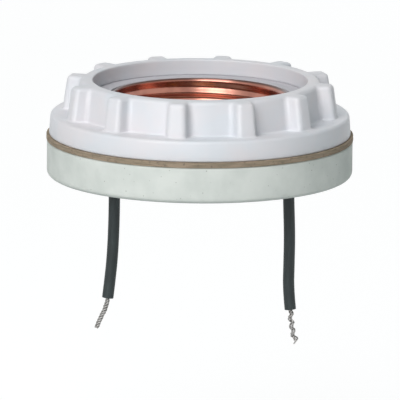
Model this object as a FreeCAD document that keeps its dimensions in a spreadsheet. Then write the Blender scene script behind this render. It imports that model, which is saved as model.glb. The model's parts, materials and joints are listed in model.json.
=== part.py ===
import FreeCAD, Part
import Sketcher
import math
import os

# A two-piece porcelain lamp holder. The unglazed base goes behind a panel and its threaded neck comes
# through the panel's hole; the glazed ring screws down on the neck and clamps the panel, with a gasket.
# A copper screw shell and a sprung centre contact sit in the neck, and two short leads hang from the
# sealed recess in the back. The frame's origin is on the axis, in the plane of the panel's seat, +Z up.

VECTOR = FreeCAD.Vector
UP = VECTOR(0, 0, 1)

document = FreeCAD.newDocument("lamp_holder")
sheet = document.addObject("Spreadsheet::Sheet", "sizes")

# millimetres and degrees, one value for each size that can be set by itself; radii grow outwards from the
# lamp's screw shell, which decides how large everything round it is
SIZES = {
    # copper screw shell
    "shell_bore_radius": 19.95,
    "shell_wall": 0.4,
    "shell_corner": 1.0,
    "shell_lip_flare": 0.8,
    "shell_lip_rise": 0.6,
    "shell_lip_below_neck": 0.15,
    "shell_screw_inset": 3.55,
    "shell_floor_ledge": 2.8,
    "shell_thread_pitch": 2.57,
    "shell_thread_depth": 0.6,
    "shell_thread_width": 2.2,
    "shell_thread_crest_width": 0.6,
    "shell_thread_start": 3.98,
    "shell_thread_turns": 2.6,
    "shell_thread_turned": 90.0,
    # unglazed base
    "cavity_gap": 0.65,
    "neck_wall": 3.55,
    "neck_rise": 10.2,
    "neck_edge_round": 0.3,
    "collar_step": 0.5,
    "collar_rise": 1.1,
    "base_overhang": 0.45,
    "base_thickness": 8.35,
    "base_bottom_round": 1.3,
    "base_top_round": 0.4,
    "base_wall": 8.0,
    "recess_depth": 3.4,
    "floor_thickness": 2.4,
    # the screw thread between neck and ring
    "ring_thread_pitch": 3.2,
    "ring_thread_height": 0.85,
    "ring_thread_root_width": 2.2,
    "ring_thread_crest_width": 0.9,
    "ring_thread_start": 2.7,
    "ring_thread_turns": 1.9,
    "ring_thread_entry_turns": 1.1,
    "ring_thread_clearance": 0.2,
    # gasket
    "gasket_overhang": 0.6,
    "gasket_bore_gap": 1.1,
    "gasket_thickness": 1.2,
    # glazed ring
    "hub_wall": 2.8,
    "hub_draft": 1.0,
    "ring_opening_step": 0.05,
    "ring_lip_gap": 0.15,
    "ring_lip_thickness": 3.45,
    "rim_round": 0.7,
    "rim_inner_round": 0.35,
    "ring_ledge": 2.4,
    "ring_draft": 0.35,
    "ring_flange_thickness": 4.8,
    "ring_flange_round": 0.7,
    "ring_bottom_round": 0.25,
    "counterbore_gap": 0.6,
    "counterbore_depth": 0.9,
    "rib_count": 12,
    "rib_turned": -100.0,
    "rib_width": 4.7,
    "rib_top_width": 4.3,
    "rib_foot_reach": 3.4,
    "rib_top_reach": 3.3,
    "rib_corner_round": 1.1,
    "rib_root_round": 1.1,
    # centre contact
    "contact_thickness": 0.5,
    "contact_width": 7.0,
    "contact_shell_gap": 1.6,
    "contact_screw_inset": 3.4,
    "contact_bend_inset": 3.8,
    "contact_height": 3.0,
    "contact_tip": 3.6,
    "button_radius": 2.3,
    "button_rise": 0.9,
    "button_shank_radius": 0.9,
    # shell screws
    "neutral_screw_angle": 150.0,
    "plain_screw_angle": -30.0,
    # fasteners
    "screw_radius": 1.4,
    "screw_head_radius": 2.5,
    "screw_head_height": 1.5,
    "screw_head_side": 0.9,
    "screw_head_top_radius": 1.75,
    "screw_slot_width": 0.6,
    "screw_slot_depth": 0.8,
    "screw_tail": 0.15,
    "hole_clearance": 0.2,
    "thread_clearance": 0.04,
    "nut_width": 5.0,
    "nut_thickness": 1.2,
    # terminal lugs and conductors
    "lug_thickness": 0.6,
    "lug_radius": 2.6,
    "lug_tongue_width": 1.8,
    "barrel_radius": 0.95,
    "barrel_bore_radius": 0.55,
    "barrel_length": 2.4,
    "barrel_gap": 0.05,
    "barrel_setback": 3.3,
    "conductor_radius": 0.5,
    "conductor_bend": 0.8,
    "conductor_in_barrel": 1.9,
    # leads
    "lead_radius": 1.315,
    "bare_end_radius": 0.55,
    "compound_gap": 1.0,
}

for row, (alias, value) in enumerate(SIZES.items(), start=1):
    sheet.set(f"A{row}", alias)
    sheet.set(f"B{row}", str(value))
    sheet.setAlias(f"B{row}", alias)
document.recompute()


def size(alias):
    """One driving dimension, read from the sheet."""
    return float(sheet.get(alias))


def named(text):
    """An expression with each sheet alias in {braces} written as the document knows it."""
    for alias in SIZES:
        text = text.replace("{" + alias + "}", "sizes." + alias)
    return text


# radii that more than one piece needs, from the shell outwards, as expressions of the sheet
SHELL_OUTSIDE = "({shell_bore_radius} + {shell_wall})"
SHELL_SCREW_CIRCLE = "({shell_bore_radius} - {shell_screw_inset})"
SHELL_FLOOR_BORE = f"({SHELL_SCREW_CIRCLE} - {{shell_floor_ledge}})"
CAVITY_RADIUS = f"({SHELL_OUTSIDE} + {{cavity_gap}})"
NECK_ROOT = f"({CAVITY_RADIUS} + {{neck_wall}})"
THREAD_CREST = f"({NECK_ROOT} + {{ring_thread_height}})"
COLLAR_RADIUS = f"({THREAD_CREST} + {{collar_step}})"
RING_BORE = f"({NECK_ROOT} + {{ring_thread_clearance}})"
RING_OPENING = f"({NECK_ROOT} + {{ring_opening_step}})"
HUB_FOOT = f"({THREAD_CREST} + {{ring_thread_clearance}} + {{hub_wall}})"
HUB_TOP = f"({HUB_FOOT} - {{hub_draft}})"
RIB_FOOT = f"({HUB_FOOT} + {{rib_foot_reach}})"
RIB_TOP = f"({HUB_TOP} + {{rib_top_reach}})"
RING_SHOULDER = f"({RIB_FOOT} + {{ring_ledge}})"
RING_EDGE = f"({RING_SHOULDER} + {{ring_draft}})"
GASKET_RADIUS = f"({RING_EDGE} + {{gasket_overhang}})"
GASKET_BORE = f"({COLLAR_RADIUS} + {{gasket_bore_gap}})"
BASE_RADIUS = f"({RING_EDGE} + {{base_overhang}})"
RECESS_RADIUS = f"({BASE_RADIUS} - {{base_wall}})"
CONTACT_FOOT_END = f"({SHELL_FLOOR_BORE} - {{contact_shell_gap}})"
CONTACT_SCREW_PLACE = f"({CONTACT_FOOT_END} - {{contact_screw_inset}})"
CONTACT_BEND = f"({CONTACT_SCREW_PLACE} - {{contact_bend_inset}})"

# heights that more than one piece needs
RECESS_CEILING = "-({base_thickness} - {recess_depth})"
CAVITY_FLOOR = f"({RECESS_CEILING} + {{floor_thickness}})"
SHELL_FLOOR = f"({CAVITY_FLOOR} + {{shell_wall}})"
SHELL_TOP = "({neck_rise} - {shell_lip_below_neck})"
RING_BOTTOM = "{gasket_thickness}"
FLANGE_TOP = f"({RING_BOTTOM} + {{ring_flange_thickness}})"
LIP_UNDERSIDE = "({neck_rise} + {ring_lip_gap})"
RIM_TOP = f"({LIP_UNDERSIDE} + {{ring_lip_thickness}})"
COMPOUND_SURFACE = "-({base_thickness} - {compound_gap})"
LUG_UNDERSIDE = f"({RECESS_CEILING} - {{lug_thickness}})"
CONDUCTOR_HEIGHT = f"({RECESS_CEILING} - {{barrel_radius}} - {{barrel_gap}})"
ZERO = "0 mm"

# how near two lengths are before they count as the same
SAME = 0.01

# overlaps that leave no trace on the finished piece: a ridge is sunk this far into what carries it, and a
# cutting tool goes this far past the face that it comes out of
SUNK = 0.3
PAST = 1.0


def length(text):
    """What an expression of the sheet comes to, in millimetres."""
    found = sheet.evalExpression(named(text))
    return float(getattr(found, "Value", found))


def new_body(label):
    body = document.addObject("PartDesign::Body", label)
    body.Label = label
    return body


def new_sketch(body, name, role, height=None):
    """A sketch on one of the body's own origin planes, lifted along that plane's normal."""
    sketch = body.newObject("Sketcher::SketchObject", name)
    plane = next(f for f in body.Origin.OriginFeatures if f.Role == role)
    sketch.AttachmentSupport = [(plane, "")]
    sketch.MapMode = "FlatFace"
    if height:
        sketch.setExpression("AttachmentOffset.Base.z", named(height))
    return sketch


def bind(sketch, kind, place, text):
    """A signed distance or a radius, driven by the sheet."""
    index = sketch.addConstraint(Sketcher.Constraint(kind, *place, length(text)))
    sketch.setExpression(f"Constraints[{index}]", named(text))


def add_outline(sketch, corners):
    """A closed outline of straight lines, each corner's two coordinates driven by the sheet."""
    points = [VECTOR(length(across), length(up), 0) for across, up in corners]
    lines = [
        sketch.addGeometry(Part.LineSegment(point, points[(i + 1) % len(points)]))
        for i, point in enumerate(points)
    ]
    for i, line in enumerate(lines):
        following = lines[(i + 1) % len(lines)]
        sketch.addConstraint(Sketcher.Constraint("Coincident", line, 2, following, 1))
    for line, (across, up) in zip(lines, corners):
        bind(sketch, "DistanceX", (-1, 1, line, 1), across)
        bind(sketch, "DistanceY", (-1, 1, line, 1), up)


def add_circle(sketch, radius, across=ZERO, up=ZERO):
    centre = VECTOR(length(across), length(up), 0)
    circle = sketch.addGeometry(Part.Circle(centre, UP, length(radius)))
    bind(sketch, "Radius", (circle,), radius)
    bind(sketch, "DistanceX", (-1, 1, circle, 3), across)
    bind(sketch, "DistanceY", (-1, 1, circle, 3), up)


def turned(body, name, corners):
    """The body's section, turned all the way round its Z axis."""
    sketch = new_sketch(body, f"{name}_section", "XZ_Plane")
    add_outline(sketch, corners)
    revolution = body.newObject("PartDesign::Revolution", name)
    revolution.Profile = sketch
    revolution.ReferenceAxis = (sketch, ["V_Axis"])
    revolution.Angle = 360
    document.recompute()
    return revolution


def pad(body, sketch, name, thickness, both_ways=False):
    feature = body.newObject("PartDesign::Pad", name)
    feature.Profile = sketch
    feature.setExpression("Length", named(thickness))
    feature.Midplane = both_ways
    document.recompute()
    return feature


def pocket(body, sketch, name, depth, both_ways=False):
    """A pocket that must remove material, because one that points away removes none and says nothing."""
    before = body.Shape.Volume
    feature = body.newObject("PartDesign::Pocket", name)
    feature.Profile = sketch
    feature.setExpression("Length", named(depth))
    feature.Midplane = both_ways
    document.recompute()
    if not feature.Shape.Volume < before:
        raise RuntimeError(f"{name} removed nothing")
    return feature


def fillet(body, name, radius, chosen):
    """Round the edges that a test picks, and say so if it picks none."""
    base = body.Tip
    names = [f"Edge{i}" for i, edge in enumerate(base.Shape.Edges, start=1) if chosen(edge)]
    if not names:
        raise RuntimeError(f"{name} found no edge")
    feature = body.newObject("PartDesign::Fillet", name)
    feature.Base = (base, names)
    feature.setExpression("Radius", named(radius))
    document.recompute()
    return feature


def on_circle(radius, height):
    """A test for a level circle, or an arc of one, about the Z axis."""
    wanted_radius, wanted_height = length(radius), length(height)

    def chosen(edge):
        point = edge.valueAt((edge.FirstParameter + edge.LastParameter) / 2)
        level = edge.BoundBox.ZLength < SAME
        near = abs(math.hypot(point.x, point.y) - wanted_radius) < SAME
        return level and near and abs(point.z - wanted_height) < SAME

    return chosen


def place(body, across=None, along=None, height=None, angle=None):
    """Put a body that was made about its own axis where the sheet says."""
    for axis, text in (("x", across), ("y", along), ("z", height)):
        if text:
            body.setExpression(f"Placement.Base.{axis}", named(text))
    if angle:
        body.setExpression("Placement.Rotation.Angle", named(angle))
    document.recompute()


def combine(kind, label, base, tool):
    """A Part boolean of two objects of the document."""
    result = document.addObject(f"Part::{kind}", label)
    result.Base = base
    result.Tool = tool
    result.Label = label
    document.recompute()
    return result


def helical_ridge(name, profile, pitch, turns, start, turned_by=0.0):
    """A straight-sided profile of (radius, height) corners, swept up a right-hand helix about Z."""
    helix = Part.makeHelix(pitch, pitch * turns, profile[0][0])
    corners = [VECTOR(radius, 0, height) for radius, height in profile]
    outline = Part.makePolygon(corners + corners[:1])
    ridge = document.addObject("Part::Feature", name)
    ridge.Shape = Part.Wire(helix.Edges).makePipeShell([outline], True, True)
    ridge.Placement = FreeCAD.Placement(VECTOR(0, 0, start), FreeCAD.Rotation(UP, turned_by))
    return ridge


# ---------------------------------------------------------------- unglazed base


def make_porcelain_base():
    body = new_body("base_blank")
    turned(
        body,
        "base_turned",
        [
            (ZERO, RECESS_CEILING),
            (RECESS_RADIUS, RECESS_CEILING),
            (RECESS_RADIUS, "-{base_thickness}"),
            (BASE_RADIUS, "-{base_thickness}"),
            (BASE_RADIUS, ZERO),
            (COLLAR_RADIUS, ZERO),
            (COLLAR_RADIUS, "{collar_rise}"),
            (NECK_ROOT, "{collar_rise}"),
            (NECK_ROOT, "{neck_rise}"),
            (CAVITY_RADIUS, "{neck_rise}"),
            (CAVITY_RADIUS, CAVITY_FLOOR),
            (ZERO, CAVITY_FLOOR),
        ],
    )
    fillet(body, "bottom_edge", "{base_bottom_round}", on_circle(BASE_RADIUS, "-{base_thickness}"))
    fillet(body, "top_edge", "{base_top_round}", on_circle(BASE_RADIUS, ZERO))
    fillet(body, "neck_inner_edge", "{neck_edge_round}", on_circle(CAVITY_RADIUS, "{neck_rise}"))
    fillet(body, "neck_outer_edge", "{neck_edge_round}", on_circle(NECK_ROOT, "{neck_rise}"))
    holes = new_sketch(body, "floor_holes", "XY_Plane", CAVITY_FLOOR)
    hole_radius = "{screw_radius} + {hole_clearance}"
    add_circle(holes, hole_radius, CONTACT_SCREW_PLACE)
    for angle in ("neutral_screw_angle", "plain_screw_angle"):
        add_circle(holes, hole_radius, *screw_place(angle))
    pocket(body, holes, "floor_drilled", f"{{floor_thickness}} + {PAST}")
    ridge = helical_ridge(
        "neck_thread",
        thread_profile(outer=length(THREAD_CREST), inner=length(NECK_ROOT) - SUNK, extra=0.0),
        size("ring_thread_pitch"),
        size("ring_thread_turns"),
        size("ring_thread_start"),
    )
    return combine("Fuse", "porcelain_base", body, ridge)


def thread_profile(outer, inner, extra):
    """The neck thread's section, centred on its helix, from an inner radius to an outer one."""
    root = size("ring_thread_root_width") / 2 + extra
    crest = size("ring_thread_crest_width") / 2 + extra
    return [(inner, -root), (outer, -crest), (outer, crest), (inner, root)]


def screw_place(angle):
    """Where a shell screw stands on its circle."""
    return (
        f"{SHELL_SCREW_CIRCLE} * cos({{{angle}}})",
        f"{SHELL_SCREW_CIRCLE} * sin({{{angle}}})",
    )


# ---------------------------------------------------------------- gasket and glazed ring


def make_gasket():
    body = new_body("gasket")
    outline = new_sketch(body, "gasket_outline", "XY_Plane")
    add_circle(outline, GASKET_RADIUS)
    add_circle(outline, GASKET_BORE)
    pad(body, outline, "gasket_sheet", "{gasket_thickness}")
    return body


def make_clamp_ring():
    body = new_body("ring_blank")
    counterbore = f"({COLLAR_RADIUS} + {{counterbore_gap}})"
    counterbore_top = f"({RING_BOTTOM} + {{counterbore_depth}})"
    turned(
        body,
        "ring_turned",
        [
            (counterbore, RING_BOTTOM),
            (RING_EDGE, RING_BOTTOM),
            (RING_SHOULDER, FLANGE_TOP),
            (HUB_FOOT, FLANGE_TOP),
            (HUB_TOP, RIM_TOP),
            (RING_OPENING, RIM_TOP),
            (RING_OPENING, LIP_UNDERSIDE),
            (RING_BORE, LIP_UNDERSIDE),
            (RING_BORE, counterbore_top),
            (counterbore, counterbore_top),
        ],
    )
    fillet(body, "flange_edge", "{ring_flange_round}", on_circle(RING_SHOULDER, FLANGE_TOP))
    fillet(body, "ring_foot_edge", "{ring_bottom_round}", on_circle(RING_EDGE, RING_BOTTOM))
    add_ribs(body)
    place(body, angle="{rib_turned}")
    groove = helical_ridge(
        "ring_thread_space",
        thread_profile(outer=length(THREAD_CREST) + size("ring_thread_clearance"),
                       inner=length(RING_BORE) - SUNK, extra=size("ring_thread_clearance")),
        size("ring_thread_pitch"),
        size("ring_thread_turns") + size("ring_thread_entry_turns"),
        size("ring_thread_start") - size("ring_thread_pitch"),
    )
    return combine("Cut", "clamp_ring", body, groove)


def add_ribs(body):
    """Gripping ribs round the hub: one lofted, patterned, then rounded."""
    inner = f"({HUB_TOP} - {PAST})"
    sections = []
    for level, height, reach, width in (
        ("foot", f"({FLANGE_TOP} - {SUNK})", RIB_FOOT, "{rib_width}"),
        ("top", RIM_TOP, RIB_TOP, "{rib_top_width}"),
    ):
        sketch = new_sketch(body, f"rib_{level}", "XY_Plane", height)
        half = f"{width} / 2"
        add_outline(sketch, [(inner, f"-{half}"), (reach, f"-{half}"), (reach, half), (inner, half)])
        sections.append(sketch)
    loft = body.newObject("PartDesign::AdditiveLoft", "rib")
    loft.Profile = sections[0]
    loft.Sections = [sections[1]]
    loft.Ruled = True
    document.recompute()
    pattern = body.newObject("PartDesign::PolarPattern", "ribs")
    pattern.Originals = [loft]
    pattern.Axis = (sections[0], ["N_Axis"])
    pattern.Angle = 360
    pattern.setExpression("Occurrences", named("{rib_count}"))
    body.Tip = pattern
    document.recompute()
    half_height = (length(RIM_TOP) - length(FLANGE_TOP)) / 2
    hub_side = length(HUB_TOP) + size("rib_top_reach") / 2

    def ends(edge):
        return [math.hypot(corner.Point.x, corner.Point.y) for corner in edge.Vertexes]

    def outer_corner(edge):
        return edge.BoundBox.ZLength > half_height and min(ends(edge)) > hub_side

    def root_corner(edge):
        reaches = ends(edge)
        return edge.BoundBox.ZLength > half_height and length(HUB_TOP) - SAME < min(reaches) < hub_side

    def rim_edge(edge):
        level = edge.BoundBox.ZLength < SAME and abs(edge.BoundBox.ZMax - length(RIM_TOP)) < SAME
        middle = edge.valueAt((edge.FirstParameter + edge.LastParameter) / 2)
        return level and math.hypot(middle.x, middle.y) > length(HUB_TOP) - SAME

    fillet(body, "rib_corners", "{rib_corner_round}", outer_corner)
    fillet(body, "rib_roots", "{rib_root_round}", root_corner)
    fillet(body, "rim_edge", "{rim_round}", rim_edge)
    fillet(body, "rim_inner_edge", "{rim_inner_round}", on_circle(RING_OPENING, RIM_TOP))


# ---------------------------------------------------------------- copper screw shell


def make_screw_shell():
    """A drawn cup with a rolled lip, its rounded thread standing in on the bore and hollow behind."""
    body = new_body("shell_blank")
    outer, lip = SHELL_OUTSIDE, "({shell_bore_radius} + {shell_lip_flare})"
    lip_foot = f"({SHELL_TOP} - {{shell_lip_rise}})"
    turned(
        body,
        "shell_turned",
        [
            (SHELL_FLOOR_BORE, CAVITY_FLOOR),
            (f"{outer} - {{shell_corner}}", CAVITY_FLOOR),
            (outer, f"{CAVITY_FLOOR} + {{shell_corner}}"),
            (outer, lip_foot),
            (lip, SHELL_TOP),
            (f"{lip} - {{shell_wall}}", SHELL_TOP),
            ("{shell_bore_radius}", lip_foot),
            ("{shell_bore_radius}", f"{SHELL_FLOOR} + {{shell_corner}} - {{shell_wall}} / 2"),
            (f"{outer} - {{shell_corner}} - {{shell_wall}} / 2", SHELL_FLOOR),
            (SHELL_FLOOR_BORE, SHELL_FLOOR),
        ],
    )
    holes = new_sketch(body, "shell_holes", "XY_Plane", SHELL_FLOOR)
    for angle in ("neutral_screw_angle", "plain_screw_angle"):
        add_circle(holes, "{screw_radius} + {hole_clearance}", *screw_place(angle))
    pocket(body, holes, "shell_floor_punched", f"{{shell_wall}} + {PAST}")
    bore, wall = size("shell_bore_radius"), size("shell_wall")
    helix = (
        size("shell_thread_pitch"),
        size("shell_thread_turns"),
        length(SHELL_FLOOR) + size("shell_thread_start"),
        size("shell_thread_turned"),
    )
    ridge = helical_ridge("shell_ridge", shell_thread_profile(bore + wall / 3, bore), *helix)
    hollow = helical_ridge("shell_hollow", shell_thread_profile(bore + wall + SUNK, bore + wall), *helix)
    return combine("Cut", "screw_shell", combine("Fuse", "shell_ridged", body, ridge), hollow)


def shell_thread_profile(back, face):
    """The rolled thread's section in three flats, standing in from a face, its back at another radius."""
    foot, crest = size("shell_thread_width") / 2, size("shell_thread_crest_width") / 2
    crest_radius = face - size("shell_thread_depth")
    return [(back, -foot), (crest_radius, -crest), (crest_radius, crest), (back, foot)]


# ---------------------------------------------------------------- centre contact


def make_centre_contact():
    """A bent bronze strip, flat under its screw and rising to a tip on the holder's axis."""
    body = new_body("centre_contact")
    strip = new_sketch(body, "strip_edge", "XZ_Plane")
    foot = CAVITY_FLOOR
    foot_face = f"({CAVITY_FLOOR} + {{contact_thickness}})"
    tip = f"({CAVITY_FLOOR} + {{contact_height}})"
    tip_face = f"({tip} + {{contact_thickness}})"
    add_outline(
        strip,
        [
            (CONTACT_FOOT_END, foot),
            (CONTACT_FOOT_END, foot_face),
            (f"{CONTACT_BEND} + {{contact_thickness}} / 2", foot_face),
            ("{contact_tip} / 2", tip_face),
            ("-{contact_tip}", tip_face),
            ("-{contact_tip}", tip),
            ("{contact_tip} / 2 - {contact_thickness} / 2", tip),
            (CONTACT_BEND, foot),
        ],
    )
    pad(body, strip, "strip", "{contact_width}", both_ways=True)
    holes = new_sketch(body, "strip_holes", "XY_Plane", tip_face)
    add_circle(holes, "{button_shank_radius} + {thread_clearance}")
    add_circle(holes, "{screw_radius} + {hole_clearance}", CONTACT_SCREW_PLACE)
    pocket(body, holes, "strip_punched", "{contact_height} + 2 * {contact_thickness}")
    return body


def make_contact_button():
    """The rounded button in the strip's tip, which the lamp presses down."""
    body = new_body("contact_button")
    face = f"({CAVITY_FLOOR} + {{contact_height}} + {{contact_thickness}} + {{thread_clearance}})"
    turned(
        body,
        "button_turned",
        [
            (ZERO, f"{face} - {{contact_thickness}} - {{thread_clearance}}"),
            ("{button_shank_radius}", f"{face} - {{contact_thickness}} - {{thread_clearance}}"),
            ("{button_shank_radius}", face),
            ("{button_radius}", face),
            ("{button_radius}", f"{face} + {{button_rise}} / 2"),
            ("{button_radius} / 2", f"{face} + {{button_rise}}"),
            (ZERO, f"{face} + {{button_rise}}"),
        ],
    )
    return body


# ---------------------------------------------------------------- fasteners


def make_screw(label, seat, across, along):
    """A slotted pan-head screw, its head on a seat in the cavity and its tail below its nut in the recess."""
    body = new_body(label)
    tail = f"({LUG_UNDERSIDE} - {{nut_thickness}} - {{screw_tail}} - ({seat}))"
    turned(
        body,
        f"{label}_turned",
        [
            (ZERO, tail),
            ("{screw_radius}", tail),
            ("{screw_radius}", ZERO),
            ("{screw_head_radius}", ZERO),
            ("{screw_head_radius}", "{screw_head_side}"),
            ("{screw_head_top_radius}", "{screw_head_height}"),
            (ZERO, "{screw_head_height}"),
        ],
    )
    slot = new_sketch(body, f"{label}_slot_outline", "XY_Plane", "{screw_head_height}")
    half, reach = "{screw_slot_width} / 2", f"({{screw_head_radius}} + {PAST})"
    add_outline(slot, [(f"-{reach}", f"-{half}"), (reach, f"-{half}"), (reach, half), (f"-{reach}", half)])
    pocket(body, slot, f"{label}_slot", "{screw_slot_depth}")
    place(body, across, along, seat)
    return body


def make_nut(label, across, along):
    body = new_body(label)
    outline = new_sketch(body, f"{label}_outline", "XY_Plane")
    reach, corners = "{nut_width} / sqrt(3)", range(30, 390, 60)
    add_outline(outline, [(f"{reach} * cos({turn} deg)", f"{reach} * sin({turn} deg)") for turn in corners])
    add_circle(outline, "{screw_radius} + {thread_clearance}")
    pad(body, outline, f"{label}_blank", "{nut_thickness}")
    place(body, across, along, f"{LUG_UNDERSIDE} - {{nut_thickness}}")
    return body


def make_washer(label, across, along):
    body = new_body(label)
    outline = new_sketch(body, f"{label}_outline", "XY_Plane")
    add_circle(outline, "{lug_radius}")
    add_circle(outline, "{screw_radius} + {hole_clearance}")
    pad(body, outline, f"{label}_sheet", "{lug_thickness}")
    place(body, across, along, LUG_UNDERSIDE)
    return body


# ---------------------------------------------------------------- terminals, leads and compound


# where each lead hangs and the bare end that goes on from it, as (x, y, z) with z from the base's underside
LEFT_LEAD = [
    (-19.5, 0.0, 1.5),
    (-19.45, 0.1, -5.65),
    (-19.55, 0.25, -12.65),
    (-19.85, 0.2, -19.65),
    (-20.4, 0.0, -25.15),
    (-20.85, -0.1, -29.0),
]
LEFT_BARE_END = [
    (-20.85, -0.1, -29.0),
    (-21.02, -0.14, -30.49),
    (-21.8, -0.2, -32.4),
    (-22.75, -0.15, -34.35),
    (-23.5, -0.2, -36.3),
]
RIGHT_LEAD = [
    (20.3, 0.0, 1.5),
    (20.5, 0.05, -6.15),
    (20.8, 0.2, -14.15),
    (20.7, 0.25, -21.15),
    (20.6, 0.1, -26.65),
    (21.1, -0.05, -31.4),
]
RIGHT_BARE_END = [
    (21.1, -0.05, -31.4),
    (21.27, -0.1, -32.99),
    (21.42, 0.0, -35.35),
    (21.95, 0.1, -37.65),
    (22.4, 0.0, -39.65),
]


def hung(points):
    """Route points below the base's underside, in the holder's frame."""
    return [VECTOR(across, along, height - size("base_thickness")) for across, along, height in points]


def terminals():
    """Each terminal's name with its screw's place on the floor and the top of its lead."""
    around = math.radians(size("neutral_screw_angle"))
    neutral = VECTOR(math.cos(around), math.sin(around), 0) * length(SHELL_SCREW_CIRCLE)
    line = VECTOR(length(CONTACT_SCREW_PLACE), 0, 0)
    return {"neutral": (neutral, hung(LEFT_LEAD)[0]), "line": (line, hung(RIGHT_LEAD)[0])}


def make_lug(name, screw, lead):
    """A ring terminal under a nut, with a barrel crimped on the conductor that comes from the lead."""
    body = new_body(f"{name}_lug")
    reach = math.hypot(lead.x - screw.x, lead.y - screw.y)
    barrel_start = f"({reach:.6f} - {{barrel_setback}} - {{barrel_length}})"
    outline = new_sketch(body, f"{name}_lug_outline", "XY_Plane")
    add_circle(outline, "{lug_radius}")
    pad(body, outline, f"{name}_lug_ring", "{lug_thickness}")
    tongue = new_sketch(body, f"{name}_tongue_outline", "XY_Plane")
    half = "{lug_tongue_width} / 2"
    tongue_end = f"{barrel_start} + {{barrel_length}} / 2"
    add_outline(tongue, [(ZERO, f"-{half}"), (tongue_end, f"-{half}"), (tongue_end, half), (ZERO, half)])
    pad(body, tongue, f"{name}_tongue", "{lug_thickness}")
    barrel = new_sketch(body, f"{name}_barrel_end", "YZ_Plane", barrel_start)
    centre_height = f"{CONDUCTOR_HEIGHT} - ({LUG_UNDERSIDE})"
    add_circle(barrel, "{barrel_radius}", ZERO, centre_height)
    pad(body, barrel, f"{name}_barrel", "{barrel_length}")
    bore = new_sketch(body, f"{name}_barrel_bore", "YZ_Plane", f"{barrel_start} + {{barrel_length}} + {PAST}")
    add_circle(bore, "{barrel_bore_radius}", ZERO, centre_height)
    pocket(body, bore, f"{name}_barrel_drilled", f"{{barrel_length}} + {PAST}")
    hole = new_sketch(body, f"{name}_lug_hole", "XY_Plane", "{lug_thickness}")
    add_circle(hole, "{screw_radius} + {hole_clearance}")
    pocket(body, hole, f"{name}_lug_punched", f"{{lug_thickness}} + {PAST}")
    turn = math.degrees(math.atan2(lead.y - screw.y, lead.x - screw.x))
    body.Placement = FreeCAD.Placement(VECTOR(screw.x, screw.y, 0), FreeCAD.Rotation(UP, turn))
    place(body, height=LUG_UNDERSIDE)
    return body


def rounded_route(points, share=0.45, radius=None):
    """Straight runs joined by tangent arcs, as one wire, with the arcs' radii.

    Each arc takes its share of the shorter run beside it, unless one radius is given for them all.
    """
    edges, radii, start = [], [], points[0]
    for before, corner, after in zip(points, points[1:], points[2:]):
        towards, away = (before - corner).normalize(), (after - corner).normalize()
        half_turn = (math.pi - towards.getAngle(away)) / 2
        shorter = min((before - corner).Length, (after - corner).Length)
        arc_radius = radius or share * shorter / math.tan(half_turn)
        back = arc_radius * math.tan(half_turn)
        arc_start, arc_end = corner + towards * back, corner + away * back
        inwards = (towards + away).normalize()
        arc_middle = corner + inwards * (arc_radius / math.cos(half_turn) - arc_radius)
        edges.append(Part.LineSegment(start, arc_start).toShape())
        edges.append(Part.Arc(arc_start, arc_middle, arc_end).toShape())
        radii.append(arc_radius)
        start = arc_end
    edges.append(Part.LineSegment(start, points[-1]).toShape())
    return Part.Wire(edges), radii


def make_round_wire(label, points, wire_radius, bend=None):
    """A round wire or lead along a route, checked against its section times its length."""
    route, radii = rounded_route(points, radius=bend)
    first_run = (points[1] - points[0]).normalize()
    end = Part.Wire([Part.makeCircle(wire_radius, points[0], first_run)])
    wire = document.addObject("Part::Feature", label)
    wire.Label = label
    wire.Shape = route.makePipeShell([end], True, True)
    expected = math.pi * wire_radius**2 * route.Length
    tightest = min(radii)
    print(f"{label}: {route.Length:.2f} mm long, bends of {tightest:.1f} mm and more,"
          f" volume {wire.Shape.Volume / expected:.4f} of section times length")
    if abs(wire.Shape.Volume / expected - 1) > 0.01:
        raise RuntimeError(f"{label} has the wrong volume")
    return wire


def make_conductor(name, screw, lead):
    """The bare conductor from the top of a lead, bent over into its lug's barrel."""
    towards_screw = VECTOR(screw.x - lead.x, screw.y - lead.y, 0).normalize()
    over_lead = VECTOR(lead.x, lead.y, length(CONDUCTOR_HEIGHT))
    inside_barrel = size("barrel_setback") + size("conductor_in_barrel")
    points = [lead, over_lead, over_lead + towards_screw * inside_barrel]
    return make_round_wire(f"{name}_conductor", points, size("conductor_radius"), size("conductor_bend"))


def make_lead(label, points):
    """A lead's insulated length, which hangs from its exit."""
    return make_round_wire(label, hung(points), size("lead_radius"))


def make_bare_end(label, points):
    """The stripped and twisted strands below the insulation."""
    return make_round_wire(label, hung(points), size("bare_end_radius"))


def make_sealing_compound(embedded):
    """The compound poured into the recess over the terminals, round everything in it."""
    body = new_body("compound_blank")
    outline = new_sketch(body, "compound_outline", "XY_Plane", COMPOUND_SURFACE)
    add_circle(outline, RECESS_RADIUS)
    pad(body, outline, "compound_fill", f"{RECESS_CEILING} - ({COMPOUND_SURFACE})")
    together = document.addObject("Part::MultiFuse", "embedded")
    together.Shapes = embedded
    document.recompute()
    return combine("Cut", "sealing_compound", body, together)


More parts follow.
